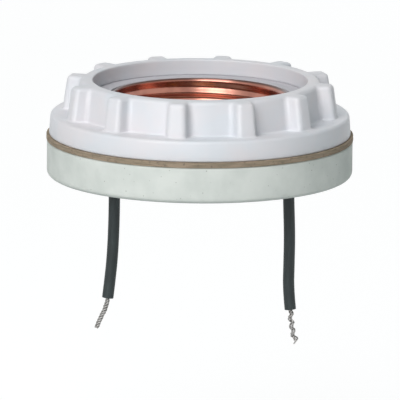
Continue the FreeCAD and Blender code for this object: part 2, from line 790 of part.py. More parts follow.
def make_everything():
    """Build each sub-part in turn and return those that make up the finished holder."""
    parts = [make_porcelain_base(), make_gasket(), make_clamp_ring(), make_screw_shell()]
    parts += [make_centre_contact(), make_contact_button()]
    neutral, plain = screw_place("neutral_screw_angle"), screw_place("plain_screw_angle")
    contact = (CONTACT_SCREW_PLACE, ZERO)
    contact_seat = f"({CAVITY_FLOOR} + {{contact_thickness}})"
    embedded = [
        make_screw("contact_screw", contact_seat, *contact),
        make_nut("contact_nut", *contact),
        make_screw("neutral_screw", SHELL_FLOOR, *neutral),
        make_nut("neutral_nut", *neutral),
        make_screw("shell_screw", SHELL_FLOOR, *plain),
        make_nut("shell_screw_nut", *plain),
        make_washer("shell_screw_washer", *plain),
    ]
    for name, (screw, lead) in terminals().items():
        embedded += [make_lug(name, screw, lead), make_conductor(name, screw, lead)]
    embedded += [make_lead("left_lead", LEFT_LEAD), make_lead("right_lead", RIGHT_LEAD)]
    ends = [make_bare_end("left_bare_end", LEFT_BARE_END), make_bare_end("right_bare_end", RIGHT_BARE_END)]
    return parts + embedded + ends + [make_sealing_compound(embedded)]


def check_and_export(parts):
    """Write each sub-part's STEP file, once every object of the document is sound."""
    document.recompute()
    failed = [item.Name for item in document.Objects if {"Invalid", "Error"} & set(item.State)]
    if failed:
        raise RuntimeError(f"these objects failed: {failed}")
    for item in parts:
        if item.Shape.isNull() or not item.Shape.isValid() or not item.Shape.Solids:
            raise RuntimeError(f"{item.Label} has no sound shape")
    os.makedirs("parts", exist_ok=True)
    for item in parts:
        item.Shape.exportStep(f"parts/{item.Label}.step")
        print(f"{item.Label}: {len(item.Shape.Solids)} solid, {item.Shape.Volume:.1f} mm3")


check_and_export(make_everything())
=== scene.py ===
"""Dresses the porcelain lamp holder: glazed ring, bare base, gasket, copper shell, contact and two leads."""
import json
import logging
import math
import random
from contextlib import contextmanager
from dataclasses import dataclass, field
from enum import Enum
from typing import Any, Callable, Dict, Iterator, List, Optional, Sequence, Tuple

import bmesh
import bpy
from mathutils import Matrix, Vector

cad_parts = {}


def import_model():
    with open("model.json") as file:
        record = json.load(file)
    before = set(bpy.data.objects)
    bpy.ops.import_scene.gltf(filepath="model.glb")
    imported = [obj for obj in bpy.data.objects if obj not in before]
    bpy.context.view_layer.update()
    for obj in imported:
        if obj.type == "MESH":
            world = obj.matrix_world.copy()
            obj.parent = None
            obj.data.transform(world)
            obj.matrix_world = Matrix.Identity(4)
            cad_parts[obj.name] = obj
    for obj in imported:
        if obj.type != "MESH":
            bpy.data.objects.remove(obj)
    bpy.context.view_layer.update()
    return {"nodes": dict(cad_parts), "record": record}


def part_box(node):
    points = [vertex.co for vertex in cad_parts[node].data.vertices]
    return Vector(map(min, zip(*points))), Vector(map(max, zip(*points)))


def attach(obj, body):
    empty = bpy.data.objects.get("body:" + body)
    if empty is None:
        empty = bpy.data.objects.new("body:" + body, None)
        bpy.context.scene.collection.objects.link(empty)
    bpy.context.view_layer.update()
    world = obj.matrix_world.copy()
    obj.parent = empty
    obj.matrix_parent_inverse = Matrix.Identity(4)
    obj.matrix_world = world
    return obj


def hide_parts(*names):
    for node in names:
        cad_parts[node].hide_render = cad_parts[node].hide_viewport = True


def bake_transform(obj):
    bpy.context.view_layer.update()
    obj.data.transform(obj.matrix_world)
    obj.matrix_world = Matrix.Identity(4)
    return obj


LOG = logging.getLogger("lamp_holder")
MM = 0.001
Point = Tuple[float, float, float]
Spot = Tuple[float, float]
Span = Tuple[float, float]
Obj = bpy.types.Object
Tree = bpy.types.NodeTree
Node = bpy.types.Node
Socket = bpy.types.NodeSocket


# ---------------------------------------------------------------- small tools


def linear(code: str) -> Tuple[float, float, float, float]:
    """An sRGB hex colour as the linear one that the shaders take.

    Args:
        code: the colour as six hex digits.

    Returns:
        Red, green, blue and alpha, linear.
    """
    channels = [int(code[start:start + 2], 16) / 255 for start in (0, 2, 4)]
    straight = [c / 12.92 if c <= 0.04045 else ((c + 0.055) / 1.055) ** 2.4 for c in channels]
    return (straight[0], straight[1], straight[2], 1.0)


def add_node(tree: Tree, kind: str, inputs: Optional[Dict[Any, Any]] = None,
             **settings: Any) -> Node:
    """Add one node to a tree, with its settings, its values and its links.

    Args:
        tree: the material's or world's tree.
        kind: the node's type.
        inputs: for a socket's name or number, the value it holds or the output that feeds it.
        **settings: the node's own properties.

    Returns:
        The new node.
    """
    node = tree.nodes.new(kind)
    for name, value in settings.items():
        setattr(node, name, value)
    for key, value in (inputs or {}).items():
        if isinstance(value, Socket):
            tree.links.new(value, node.inputs[key])
        else:
            node.inputs[key].default_value = value
    return node


def empty_tree(owner: Any) -> Tree:
    """Turn on a material's or world's nodes, and leave it none."""
    owner.use_nodes = True
    owner.node_tree.nodes.clear()
    return owner.node_tree


def deselect_all() -> None:
    """Leave nothing selected and nothing active, in object mode."""
    if bpy.context.object and bpy.context.object.mode != "OBJECT":
        bpy.ops.object.mode_set(mode="OBJECT")
    bpy.ops.object.select_all(action="DESELECT")
    bpy.context.view_layer.objects.active = None


def activate(obj: Obj) -> None:
    """Make one object the only selected one, and the active one."""
    deselect_all()
    obj.select_set(True)
    bpy.context.view_layer.objects.active = obj


def settle(obj: Obj) -> None:
    """Put an object's place, turn and size into its mesh."""
    activate(obj)
    bpy.ops.object.transform_apply(location=True, rotation=True, scale=True)


def rename(obj: Obj, name: str) -> Obj:
    """Give an object and its data one name."""
    obj.name = name
    obj.data.name = name
    return obj


def add_object(name: str, data: Any) -> Obj:
    """Put a camera, a lamp or a curve into the scene as an object."""
    obj = bpy.data.objects.new(name, data)
    bpy.context.scene.collection.objects.link(obj)
    return obj


@contextmanager
def editing(obj: Obj) -> Iterator[None]:
    """Edit mode on one object, picking vertices, and object mode again after it."""
    activate(obj)
    bpy.ops.object.mode_set(mode="EDIT")
    bpy.ops.mesh.select_mode(type="VERT")
    try:
        yield
    finally:
        bpy.ops.object.mode_set(mode="OBJECT")


def select_where(obj: Obj, kind: str, test: Callable[[Any], bool]) -> None:
    """Select the vertices, edges or faces that pass a test, in edit mode.

    Args:
        obj: the object in edit mode.
        kind: VERT, EDGE or FACE.
        test: says of one element whether it is taken.
    """
    bpy.ops.mesh.select_all(action="DESELECT")
    bpy.ops.mesh.select_mode(type=kind)
    mesh = bmesh.from_edit_mesh(obj.data)
    for element in {"VERT": mesh.verts, "EDGE": mesh.edges, "FACE": mesh.faces}[kind]:
        if test(element):
            element.select_set(True)
    mesh.select_flush_mode()
    bmesh.update_edit_mesh(obj.data)


def extrude(offset: Point) -> None:
    """Extrude what is selected by an offset in millimetres, in edit mode."""
    bpy.ops.mesh.extrude_region_move(TRANSFORM_OT_translate={"value": tuple(value * MM for value in offset)})


def run_out(profile: Sequence[Spot]) -> None:
    """Extrude the selected point through a profile's points, given across and up in millimetres."""
    for before, after in zip(profile, profile[1:]):
        extrude((after[0] - before[0], 0, after[1] - before[1]))


def spin(steps: int, degrees: float, copies: bool = False) -> None:
    """Spin all of the mesh round the Z axis, as a swept surface or as copies, in edit mode."""
    bpy.ops.mesh.select_all(action="SELECT")
    bpy.ops.mesh.spin(steps=steps, angle=math.radians(degrees), dupli=copies, center=(0, 0, 0),
                      axis=(0, 0, 1))


def weld(distance: float) -> None:
    """Join the points that lie closer than a distance in millimetres, in edit mode."""
    bpy.ops.mesh.select_all(action="SELECT")
    bpy.ops.mesh.remove_doubles(threshold=distance * MM)


def face_out() -> None:
    """Turn every face outwards, in edit mode."""
    bpy.ops.mesh.select_all(action="SELECT")
    bpy.ops.mesh.normals_make_consistent(inside=False)


def lone_point(name: str, place: Point) -> Obj:
    """Start a mesh from one point.

    Args:
        name: the new object's name.
        place: the point, in millimetres.

    Returns:
        The new object.
    """
    deselect_all()
    bpy.ops.mesh.primitive_plane_add(size=MM, location=tuple(value * MM for value in place))
    obj = rename(bpy.context.object, name)
    settle(obj)
    with editing(obj):
        bpy.ops.mesh.select_all(action="SELECT")
        bpy.ops.mesh.merge(type="CENTER")
    return obj


def lathe(name: str, profile: Sequence[Spot], steps: int, closed: bool = False) -> Obj:
    """Spin a profile all the way round the Z axis.

    Args:
        name: the piece's name.
        profile: the radius and height of each point in millimetres, in order.
        steps: how many steps make the turn.
        closed: whether the last point joins the first.

    Returns:
        The new object, with its normals outwards.
    """
    obj = lone_point(name, (profile[0][0], 0, profile[0][1]))
    with editing(obj):
        bpy.ops.mesh.select_all(action="SELECT")
        run_out(profile)
        if closed:
            ends = (profile[0], profile[-1])
            select_where(obj, "VERT", lambda vertex: any(
                math.hypot(vertex.co.x / MM - across, vertex.co.z / MM - up) < 1e-4 for across, up in ends))
            bpy.ops.mesh.edge_face_add()
        spin(steps, 360)
        weld(0.002)
        face_out()
    return obj


def arc(centre: Spot, radius: float, first: float, last: float, steps: int = 4) -> List[Spot]:
    """Points of a rounding in a profile.

    Args:
        centre: its centre's radius and height in millimetres.
        radius: its own radius in millimetres.
        first: the angle of its first point in degrees, 0 outwards and 90 up.
        last: the angle of its last point.
        steps: how many runs it is cut into.

    Returns:
        The points, in order.
    """
    turns = [math.radians(first + (last - first) * step / steps) for step in range(steps + 1)]
    return [(centre[0] + radius * math.cos(turn), centre[1] + radius * math.sin(turn)) for turn in turns]


def polar(vertex: Any) -> Point:
    """A vertex's radius in millimetres, its angle in degrees and its height in millimetres."""
    across, along, up = vertex.co
    return (math.hypot(across, along) / MM, math.degrees(math.atan2(along, across)), up / MM)


def push_out(obj: Obj, radius: float, low: float, high: float,
             stand: Callable[[float, float], float]) -> None:
    """Move the points of one round wall outwards.

    Args:
        obj: the object, in object mode.
        radius: the wall's radius in millimetres.
        low: the height above which points move.
        high: the height below which they move.
        stand: gives the move in millimetres at an angle in degrees and a height in millimetres.
    """
    for vertex in obj.data.vertices:
        away, angle, height = polar(vertex)
        if abs(away - radius) < 0.02 and low < height < high:
            factor = 1.0 + stand(angle, height) / away
            vertex.co.x *= factor
            vertex.co.y *= factor


def add_modifier(obj: Obj, kind: str, **settings: Any) -> None:
    """Add a modifier with its settings."""
    modifier = obj.modifiers.new(kind.lower(), kind)
    for name, value in settings.items():
        setattr(modifier, name, value)


def ease_edges(obj: Obj, width: float, angle: float) -> None:
    """Add a small bevel, its width in millimetres, to edges sharper than an angle in degrees."""
    add_modifier(obj, "BEVEL", width=width * MM, segments=2, limit_method="ANGLE",
                 angle_limit=math.radians(angle))


def apply_all(obj: Obj) -> None:
    """Apply every modifier of an object, from the first to the last."""
    activate(obj)
    for modifier in list(obj.modifiers):
        bpy.ops.object.modifier_apply(modifier=modifier.name)


def smooth(obj: Obj, angle: float) -> None:
    """Shade an object smooth, with edges sharper than an angle in degrees kept."""
    activate(obj)
    bpy.ops.object.shade_smooth_by_angle(angle=math.radians(angle))


# ---------------------------------------------------------------- finishes


class Brush:
    """One new material: its Principled shader, the coordinates its patterns read, and its pattern nodes."""

    def __init__(self, name: str, colour: str, roughness: float) -> None:
        """Start a plain material.

        Args:
            name: the material's name.
            colour: its colour as six hex digits.
            roughness: its roughness, from 0 to 1.
        """
        self.material = bpy.data.materials.new(name)
        self.tree = empty_tree(self.material)
        self.surface = add_node(self.tree, "ShaderNodeBsdfPrincipled", {
            "Base Color": linear(colour), "Roughness": roughness})
        add_node(self.tree, "ShaderNodeOutputMaterial", {"Surface": self.surface.outputs[0]})
        self.place = add_node(self.tree, "ShaderNodeTexCoord").outputs["Object"]

    def feed(self, name: str, value: Any) -> None:
        """Set one socket of the shader to a constant, or link an output to it."""
        socket = self.surface.inputs[name]
        if isinstance(value, Socket):
            self.tree.links.new(value, socket)
        else:
            socket.default_value = value

    def grain(self, size: float, detail: float = 3.0, stretch: Point = (1.0, 1.0, 1.0)) -> Socket:
        """Soft noise whose blobs are about one size.

        Args:
            size: the size of a blob in millimetres.
            detail: how many finer layers lie on it.
            stretch: how much longer the blobs are along each axis.

        Returns:
            The noise, from 0 to 1.
        """
        mapped = add_node(self.tree, "ShaderNodeMapping", {
            "Vector": self.place, "Scale": tuple(1.0 / longer for longer in stretch)})
        noise = add_node(self.tree, "ShaderNodeTexNoise", {
            "Vector": mapped.outputs[0], "Scale": 1.0 / (size * MM), "Detail": detail, "Roughness": 0.55})
        return noise.outputs["Fac"]

    def between(self, amount: Socket, span: Span, result: Span = (0.0, 1.0)) -> Socket:
        """Stretch an amount from one range to another, held at the ends.

        Args:
            amount: what is stretched.
            span: the amounts that give the first and the last result.
            result: those results.

        Returns:
            The stretched amount.
        """
        return add_node(self.tree, "ShaderNodeMapRange", {
            "Value": amount, "From Min": span[0], "From Max": span[1], "To Min": result[0],
            "To Max": result[1]}).outputs["Result"]

    def height(self, low: float, high: float) -> Socket:
        """An amount that goes from 0 at one height in millimetres to 1 at another."""
        up = add_node(self.tree, "ShaderNodeSeparateXYZ", {"Vector": self.place}).outputs["Z"]
        return self.between(up, (low * MM, high * MM))

    def blended(self, share: Socket, first: Any, second: Any) -> Socket:
        """Mix two colours, each a hex code or a socket.

        Args:
            share: how much of the second shows.
            first: the colour where the share is 0.
            second: the colour where it is 1.

        Returns:
            The mixed colour.
        """
        pair = {number: linear(colour) if isinstance(colour, str) else colour
                for number, colour in ((6, first), (7, second))}
        return add_node(self.tree, "ShaderNodeMix", {0: share, **pair}, data_type="RGBA").outputs[2]

    def relief(self, height: Socket, depth: float, strength: float,
               under: Optional[Socket] = None) -> Socket:
        """Give the shader a relief.

        Args:
            height: the relief, from 0 to 1.
            depth: its depth in millimetres.
            strength: how much of it is felt.
            under: a coarser relief it lies on.

        Returns:
            The relief's normal, to lay another on.
        """
        inputs: Dict[Any, Any] = {"Height": height, "Distance": depth * MM, "Strength": strength}
        if under is not None:
            inputs["Normal"] = under
        normal = add_node(self.tree, "ShaderNodeBump", inputs).outputs[0]
        self.feed("Normal", normal)
        return normal


@dataclass(frozen=True)
class Finish:
    """What every finish shares: a name, a main colour, and how rough it is."""

    name: str
    colour: str
    roughness: float

    def material(self) -> bpy.types.Material:
        """Build the material, with its pattern."""
        brush = Brush(self.name, self.colour, self.roughness)
        self.dress(brush)
        return brush.material

    def dress(self, brush: Brush) -> None:
        """Add the finish's own pattern.

        Args:
            brush: the plain material that it goes on.
        """
        raise NotImplementedError


@dataclass(frozen=True)
class BarePorcelain(Finish):
    """Unglazed fired porcelain: matt and gritty, faintly clouded, with a few dark iron specks."""

    cloud: str = "c6cac5"
    speck: str = "93958f"
    neck_painted_shade: str = "bfbcc1"
    foot_painted_shade: str = "a9afab"
    cloud_size: float = 7.0
    clouded: Span = (0.38, 0.66)
    grit_size: float = 0.45
    grit_stretch: Point = (4.0, 4.0, 1.0)
    speck_size: float = 1.0
    speck_edge: Span = (0.16, 0.08)
    specks_shown: Span = (0.60, 0.66)
    neck_foot: float = 1.1
    neck_fade: float = 4.0
    foot: float = -8.35
    foot_shade_reach: Span = (0.9, 0.2)

    def dress(self, brush: Brush) -> None:
        """Clouds, specks, painted shade on the foot's rounding and on the neck, and a gritty skin."""
        clouds = brush.between(brush.grain(self.cloud_size), self.clouded)
        colour = brush.blended(clouds, self.colour, self.cloud)
        cells = add_node(brush.tree, "ShaderNodeTexVoronoi", {
            "Vector": brush.place, "Scale": 1.0 / (self.speck_size * MM)}).outputs["Distance"]
        rare = brush.between(brush.grain(self.speck_size, 0.0), self.specks_shown)
        dots = brush.between(cells, self.speck_edge)
        specks = add_node(brush.tree, "ShaderNodeMath", {0: rare, 1: dots}, operation="MULTIPLY").outputs[0]
        colour = brush.blended(specks, colour, self.speck)
        # Painted shade: the foot's down-facing rounding darkens towards the bottom.
        low = brush.height(self.foot + self.foot_shade_reach[0], self.foot + self.foot_shade_reach[1])
        colour = brush.blended(low, colour, self.foot_painted_shade)
        # Painted shade: from the collar up, the neck and its mouth are greyed over four millimetres.
        neck = brush.height(self.neck_foot, self.neck_foot + self.neck_fade)
        brush.feed("Base Color", brush.blended(neck, colour, self.neck_painted_shade))
        under = brush.relief(brush.grain(self.cloud_size / 2, 2.0), 0.10, 0.5)
        brush.relief(brush.grain(self.grit_size, 4.0, self.grit_stretch), 0.04, 0.7, under)


@dataclass(frozen=True)
class GlazedPorcelain(Finish):
    """White glazed porcelain: a smooth soft gloss, slightly wavy, cooler where the glaze pools."""

    pooled: str = "d2d4d9"
    pool_size: float = 9.6
    wave_size: float = 6.0
    ripple_size: float = 0.9
    coat: float = 0.15
    coat_roughness: float = 0.3

    def dress(self, brush: Brush) -> None:
        """A faint drift of colour and the long ripples of a run glaze."""
        drift = brush.between(brush.grain(self.pool_size), (0.35, 0.65))
        brush.feed("Base Color", brush.blended(drift, self.colour, self.pooled))
        brush.feed("IOR", 1.5)
        brush.feed("Coat Weight", self.coat)
        brush.feed("Coat Roughness", self.coat_roughness)
        under = brush.relief(brush.grain(self.wave_size, 1.0), 0.15, 0.5)
        brush.relief(brush.grain(self.ripple_size, 1.0), 0.006, 0.5, under)


@dataclass(frozen=True)
class GasketBoard(Finish):
    """Pressed brown fibre board: matt, with fibres lying flat in layers that show along its cut edge."""

    fibre: str = "9c8a77"
    dark: str = "6f6255"
    layer_size: float = 0.5
    layer_stretch: Point = (8.0, 8.0, 0.5)
    fleck_size: float = 0.8
    fibre_size: float = 0.4
    fibre_stretch: Point = (6.0, 6.0, 0.6)

    def dress(self, brush: Brush) -> None:
        """Pale layers along the edge, dark flecks, and fibres."""
        layers = brush.between(brush.grain(self.layer_size, 3.0, self.layer_stretch), (0.35, 0.65))
        colour = brush.blended(layers, self.colour, self.fibre)
        flecks = brush.between(brush.grain(self.fleck_size, 4.0), (0.56, 0.70))
        brush.feed("Base Color", brush.blended(flecks, colour, self.dark))
        brush.relief(brush.grain(self.fibre_size, 3.0, self.fibre_stretch), 0.06, 0.8)


@dataclass(frozen=True)
class DrawnMetal(Finish):
    """Drawn, turned or rolled metal with its polish dulled: fine lines one way, and a patchy tarnish."""

    tarnish: str = "a86a52"
    tarnished: float = 0.3
    tarnish_size: float = 3.5
    wear_size: float = 2.0
    line_stretch: Point = (30.0, 30.0, 1.0)
    line_size: float = 0.12
    line_depth: float = 0.002
    lacquer: float = 0.0
    lacquer_roughness: float = 0.25
    painted_shade_above: Optional[float] = None
    painted_shade_fade: float = 0.3
    painted_shade: str = "4f2e26"

    def dress(self, brush: Brush) -> None:
        """Tarnish in soft patches under any lacquer, painted shade above a height where one is given, uneven
        wear, and fine drawing lines.
        """
        brush.feed("Metallic", 1.0)
        brush.feed("Coat Weight", self.lacquer)
        brush.feed("Coat Roughness", self.lacquer_roughness)
        patches = brush.between(brush.grain(self.tarnish_size, 4.0), (0.42, 0.72), (0.0, self.tarnished))
        colour = brush.blended(patches, self.colour, self.tarnish)
        # Painted shade: above the given height the colour darkens, dimming the reflection on the shell's lip.
        if self.painted_shade_above is not None:
            edge = brush.height(self.painted_shade_above, self.painted_shade_above + self.painted_shade_fade)
            colour = brush.blended(edge, colour, self.painted_shade)
        brush.feed("Base Color", colour)
        brush.feed("Roughness", brush.between(brush.grain(self.wear_size), (0.3, 0.7),
                                              (self.roughness * 0.85, self.roughness * 1.2)))
        brush.relief(brush.grain(self.line_size, 2.0, self.line_stretch), self.line_depth, 0.5)


@dataclass(frozen=True)
class LeadInsulation(Finish):
    """Extruded rubber insulation: satin black gone slate, with a dusty bloom and faint extrusion lines."""

    bloom: str = "354041"
    bloom_size: float = 1.6
    line_size: float = 0.25

    def dress(self, brush: Brush) -> None:
        """Bloom in patches and lines along the lead, which hangs down."""
        patches = brush.between(brush.grain(self.bloom_size, 3.0, (1.0, 1.0, 4.0)), (0.40, 0.72), (0.0, 0.55))
        brush.feed("Base Color", brush.blended(patches, self.colour, self.bloom))
        brush.relief(brush.grain(self.line_size, 2.0, (1.0, 1.0, 40.0)), 0.02, 0.5)


@dataclass(frozen=True)
class SealingCompound(Finish):
    """Poured black compound: half gloss, with the soft hollows and dust that it set with."""

    dust: str = "3d3a37"
    dust_size: float = 1.2
    hollow_size: float = 5.0
    grit_size: float = 0.6

    def dress(self, brush: Brush) -> None:
        """Dust on a gently rolling skin."""
        dusty = brush.between(brush.grain(self.dust_size, 4.0), (0.45, 0.75))
        brush.feed("Base Color", brush.blended(dusty, self.colour, self.dust))
        under = brush.relief(brush.grain(self.hollow_size, 1.0), 0.4, 0.6)
        brush.relief(brush.grain(self.grit_size, 2.0), 0.02, 0.5, under)


class Finishes:
    """The holder's finishes, each built once and handed out by the record's slot name."""

    def __init__(self) -> None:
        """Build every material."""
        finishes = {
            "unglazed_porcelain": BarePorcelain("bare_fired_porcelain", "d2d5d0", 0.8),
            "glazed_porcelain": GlazedPorcelain("white_glazed_porcelain", "d8d4d7", 0.5),
            "gasket_board": GasketBoard("pressed_fibre_gasket_board", "7d715f", 0.9),
            # The copper has painted shade on its lip, from 9.75 mm up.
            "copper": DrawnMetal("deep_drawn_copper", "ae7462", 0.2, tarnish="6a352b", tarnished=0.5,
                                 lacquer=0.8, painted_shade_above=9.75),
            "phosphor_bronze": DrawnMetal("rolled_phosphor_bronze", "d9ab6e", 0.3, tarnish="9c7446",
                                          line_stretch=(30.0, 1.0, 1.0)),
            "nickel_silver": DrawnMetal("turned_nickel_silver", "bdb9ad", 0.3, tarnish="8f8b80",
                                        tarnished=0.12),
            "brass": DrawnMetal("turned_brass", "e0c070", 0.3, tarnish="9a7f45"),
            "tinned_brass": DrawnMetal("tinned_stamped_brass", "c9c7bf", 0.4, tarnish="93908a"),
            "tinned_copper": DrawnMetal("tinned_copper_wire", "a5a4a2", 0.36, tarnish="6a655f",
                                        line_stretch=(1.0, 1.0, 12.0)),
            "lead_insulation": LeadInsulation("black_rubber_insulation", "1d2627", 0.6),
            "sealing_compound": SealingCompound("poured_black_compound", "1d1b1a", 0.45),
        }
        self.materials = {slot: finish.material() for slot, finish in finishes.items()}

    def dress_node(self, node: Obj, slot: str) -> None:
        """Give a carried-over node the material of its slot."""
        if not node.material_slots:
            node.data.materials.append(None)
        for held in node.material_slots:
            held.link = "OBJECT"
            held.material = self.materials[slot]

    def give(self, obj: Obj, body: str, slot: str, replaced: str, rides: bool = True) -> None:
        """Give a finished piece the material of its slot, put it on its body's empty if it rides, hide the
        CAD node it stands for, and log it.

        Args:
            obj: the finished piece.
            body: the body it belongs to.
            slot: the record's material slot.
            replaced: the CAD node it stands for.
            rides: whether it is parented to the body's empty.
        """
        obj.data.materials.clear()
        obj.data.materials.append(self.materials[slot])
        if rides:
            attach(obj, body)
        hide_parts(replaced)
        faces = f"{len(obj.data.polygons)} faces" if obj.type == "MESH" else "a curve"
        LOG.info("%s on %s, %s, %s", obj.name, body, self.materials[slot].name, faces)


# ---------------------------------------------------------------- leads


def line_curve(name: str, points: Sequence[Sequence[float]], radius: float, along: int,
               around: int) -> Obj:
    """A smooth curve of one open spline.

    Args:
        name: the object's name.
        points: its points, in metres.
        radius: its half thickness in millimetres, or 0 for the bare line.
        along: how finely it is cut along its length.
        around: how finely it is cut round its girth.

    Returns:
        The curve object.
    """
    data = bpy.data.curves.new(name, "CURVE")
    data.dimensions = "3D"
    data.resolution_u = along
    data.bevel_depth = radius * MM
    data.bevel_resolution = around
    data.use_fill_caps = bool(radius)
    spline = data.splines.new("NURBS")
    spline.points.add(len(points) - 1)
    for held, point in zip(spline.points, points):
        held.co = (*point, 1.0)
    spline.order_u = 3
    spline.use_endpoint_u = True
    return add_object(name, data)


def line_samples(points: Sequence[Point]) -> List[Vector]:
    """The points along the smooth line that a route makes, all in metres."""
    line = line_curve("route", points, 0.0, 12, 0)
    bpy.context.view_layer.update()
    mesh = bpy.data.meshes.new_from_object(line.evaluated_get(bpy.context.evaluated_depsgraph_get()))
    found = [vertex.co.copy() for vertex in mesh.vertices]
    bpy.data.meshes.remove(mesh)
    bpy.data.objects.remove(line)
    return found


class Twist(Enum):
    """How tightly a bare end's strands are twisted together."""

    NEAT = "neat"
    LOOSE = "loose"


@dataclass(frozen=True)
class Lay:
    """The strands of a bare end and how they lie, in millimetres.

    The strands are round, one in the middle and the others in a ring, with one turn of twist in each length.
    Each strays by up to the kink, and ends short of the bare end by up to the fray.
    """

    count: int
    radius: float
    ring: float
    length: float
    kink: float
    frayed: float
    sway_rate: float = 3.1
    bow_rate: float = 2.3
    stray_rate: float = 4.2
    stray_shift: float = 2.4


LAYS = {
    Twist.NEAT: Lay(count=5, radius=0.18, ring=0.4, length=2.8, kink=0.03, frayed=0.3),
    Twist.LOOSE: Lay(count=5, radius=0.15, ring=0.46, length=2.9, kink=0.25, frayed=1.3),
}


@dataclass
class Lead:
    """One insulated lead with its stripped, twisted end: its routes in metres, its sizes in millimetres."""

    side: str
    route: List[Point]
    bare_route: List[Point]
    twist: Twist
    seed: int
    length: float
    radius: float = 1.315
    exit_height: float = -7.35

    def build(self, finishes: Finishes) -> None:
        """Make the lead and its bare end.

        Args:
            finishes: the holder's materials.
        """
        cord = line_curve(f"{self.side}_lead_insulation", self.route, self.radius, 12, 5)
        strands = self.bare_strands()
        finishes.give(cord, "base", "lead_insulation", f"{self.side}_lead")
        finishes.give(strands, "base", "tinned_copper", f"{self.side}_bare_end")

    def bare_strands(self) -> Obj:
        """Twist thin strands round the bare end's line.

        Returns:
            One mesh of all the strands.
        """
        rng = random.Random(self.seed)
        lay = LAYS[self.twist]
        line = line_samples(self.bare_route)
        phases = [rng.uniform(0, 2 * math.pi) for _ in range(4)]
        pieces = []
        for number in range(lay.count):
            shorter = rng.uniform(0.0, lay.frayed) * MM
            loose = rng.uniform(0.4, 1.0) * lay.kink
            strand = line_curve(f"strand_{number}", self.strand_line(number, line, shorter, loose, phases),
                                lay.radius, 2, 2)
            activate(strand)
            bpy.ops.object.convert(target="MESH")
            pieces.append(bpy.context.object)
        deselect_all()
        for piece in pieces:
            piece.select_set(True)
        bpy.context.view_layer.objects.active = pieces[0]
        bpy.ops.object.join()
        return rename(bpy.context.object, f"{self.side}_bare_strands")

    def strand_line(self, number: int, line: Sequence[Vector], shorter: float, loose: float,
                    phases: Sequence[float]) -> List[Vector]:
        """The line of one strand, wound round the bare end's own.

        Args:
            number: the strand's number, 0 for the middle one.
            line: points along the bare end, in metres.
            shorter: how far it stops short, in metres.
            loose: how far it strays from its place in the twist, in millimetres.
            phases: where the sway, the bow and the straying start.

        Returns:
            Its points, in metres.
        """
        lay = LAYS[self.twist]
        reach = [0.0]
        for before, after in zip(line, line[1:]):
            reach.append(reach[-1] + (after - before).length)
        start = 2 * math.pi * number / max(1, lay.count - 1)
        points = []
        for index, (place, along) in enumerate(zip(line, reach)):
            if along > reach[-1] - shorter:
                break
            ahead = (line[min(len(line) - 1, index + 1)] - line[max(0, index - 1)]).normalized()
            across = Vector((0, 1, 0)).cross(ahead).normalized()
            beside = ahead.cross(across).normalized()
            opened = min(1.0, along / reach[-1] * 5)
            sway = lay.kink * opened * math.sin(along / MM * lay.sway_rate + phases[0])
            bow = lay.kink * opened * math.sin(along / MM * lay.bow_rate + phases[1])
            away = 0.0 if number == 0 else lay.ring * (0.85 + 0.15 * opened)
            strayed = along / MM * lay.stray_rate + phases[2] + lay.stray_shift * number
            away += loose * opened * math.sin(strayed)
            turn = start + 2 * math.pi * along / (lay.length * MM)
            points.append(place + (across * (math.cos(turn) * away + sway)
                                   + beside * (math.sin(turn) * away + bow)) * MM)
        return points


# ---------------------------------------------------------------- screw shell


@dataclass
class ScrewShell:
    """The copper screw shell: a thin cup with a rolled right-hand thread and a flared lip."""

    bore_radius: float = 19.95
    wall: float = 0.4
    thread_depth: float = 0.6
    thread_sharpness: float = 1.15
    pitch: float = 2.57
    crest_height: float = 1.83
    crest_angle: float = 90.0
    floor: float = -2.15
    floor_bore_radius: float = 13.6
    corner: float = 1.0
    top: float = 10.35
    lip_flare: float = 0.45
    lip_rise: float = 0.6
    fade_turns: float = 0.5
    last_crest: float = 8.6
    steps: int = 144
    rows_per_pitch: int = 14

    def stand(self, angle: float, height: float) -> float:
        """How far the thread moves the wall outwards, so less than 0, in millimetres.

        Args:
            angle: the place's angle in degrees.
            height: its height in millimetres.

        Returns:
            The move in millimetres.
        """
        turn = ((angle - self.crest_angle) % 360) / 360
        phase = (height - self.crest_height) / self.pitch - turn
        wave = (0.5 + 0.5 * math.cos(2 * math.pi * phase)) ** self.thread_sharpness
        centre = self.crest_height + self.pitch * (round(phase) + turn)
        above = (centre - self.last_crest) / (self.pitch * self.fade_turns)
        below = (self.crest_height - 0.2 - centre) / (self.pitch * self.fade_turns)
        fade = 1.0 - min(1.0, max(0.0, above, below))
        return -self.thread_depth * wave * fade * fade * (3 - 2 * fade)

    def build(self, finishes: Finishes) -> None:
        """Spin the cup, roll its thread, and give it its thickness.

        Args:
            finishes: the holder's materials.
        """
        bore, corner = self.bore_radius, self.corner
        low, high = self.floor + corner, self.top - self.lip_rise
        rows = max(2, int((high - low) / self.pitch * self.rows_per_pitch))
        profile = [(self.floor_bore_radius, self.floor)]
        profile += arc((bore - corner, low), corner, -90, 0)
        profile += [(bore, low + (high - low) * row / rows) for row in range(1, rows + 1)]
        profile += [(bore + 0.04, high + 0.2), (bore + 0.12, high + 0.42),
                    (bore + self.lip_flare, self.top - 0.02)]
        shell = lathe("screw_shell_drawn", profile, self.steps)
        push_out(shell, bore, low - 0.01, high + 0.01, self.stand)
        self.face_wall_out(shell)
        add_modifier(shell, "SOLIDIFY", thickness=self.wall * MM, offset=1.0, use_even_offset=True)
        ease_edges(shell, 0.12, 50)
        apply_all(shell)
        smooth(shell, 60)
        finishes.give(shell, "base", "copper", "screw_shell")

    def face_wall_out(self, shell: Obj) -> None:
        """Turn the thin sheet's faces to the outside of the cup, so that the wall grows outwards."""
        with editing(shell):
            face_out()
        if max(shell.data.polygons, key=lambda face: face.center.x).normal.x < 0:
            with editing(shell):
                bpy.ops.mesh.select_all(action="SELECT")
                bpy.ops.mesh.flip_normals()


# ---------------------------------------------------------------- porcelain and gasket


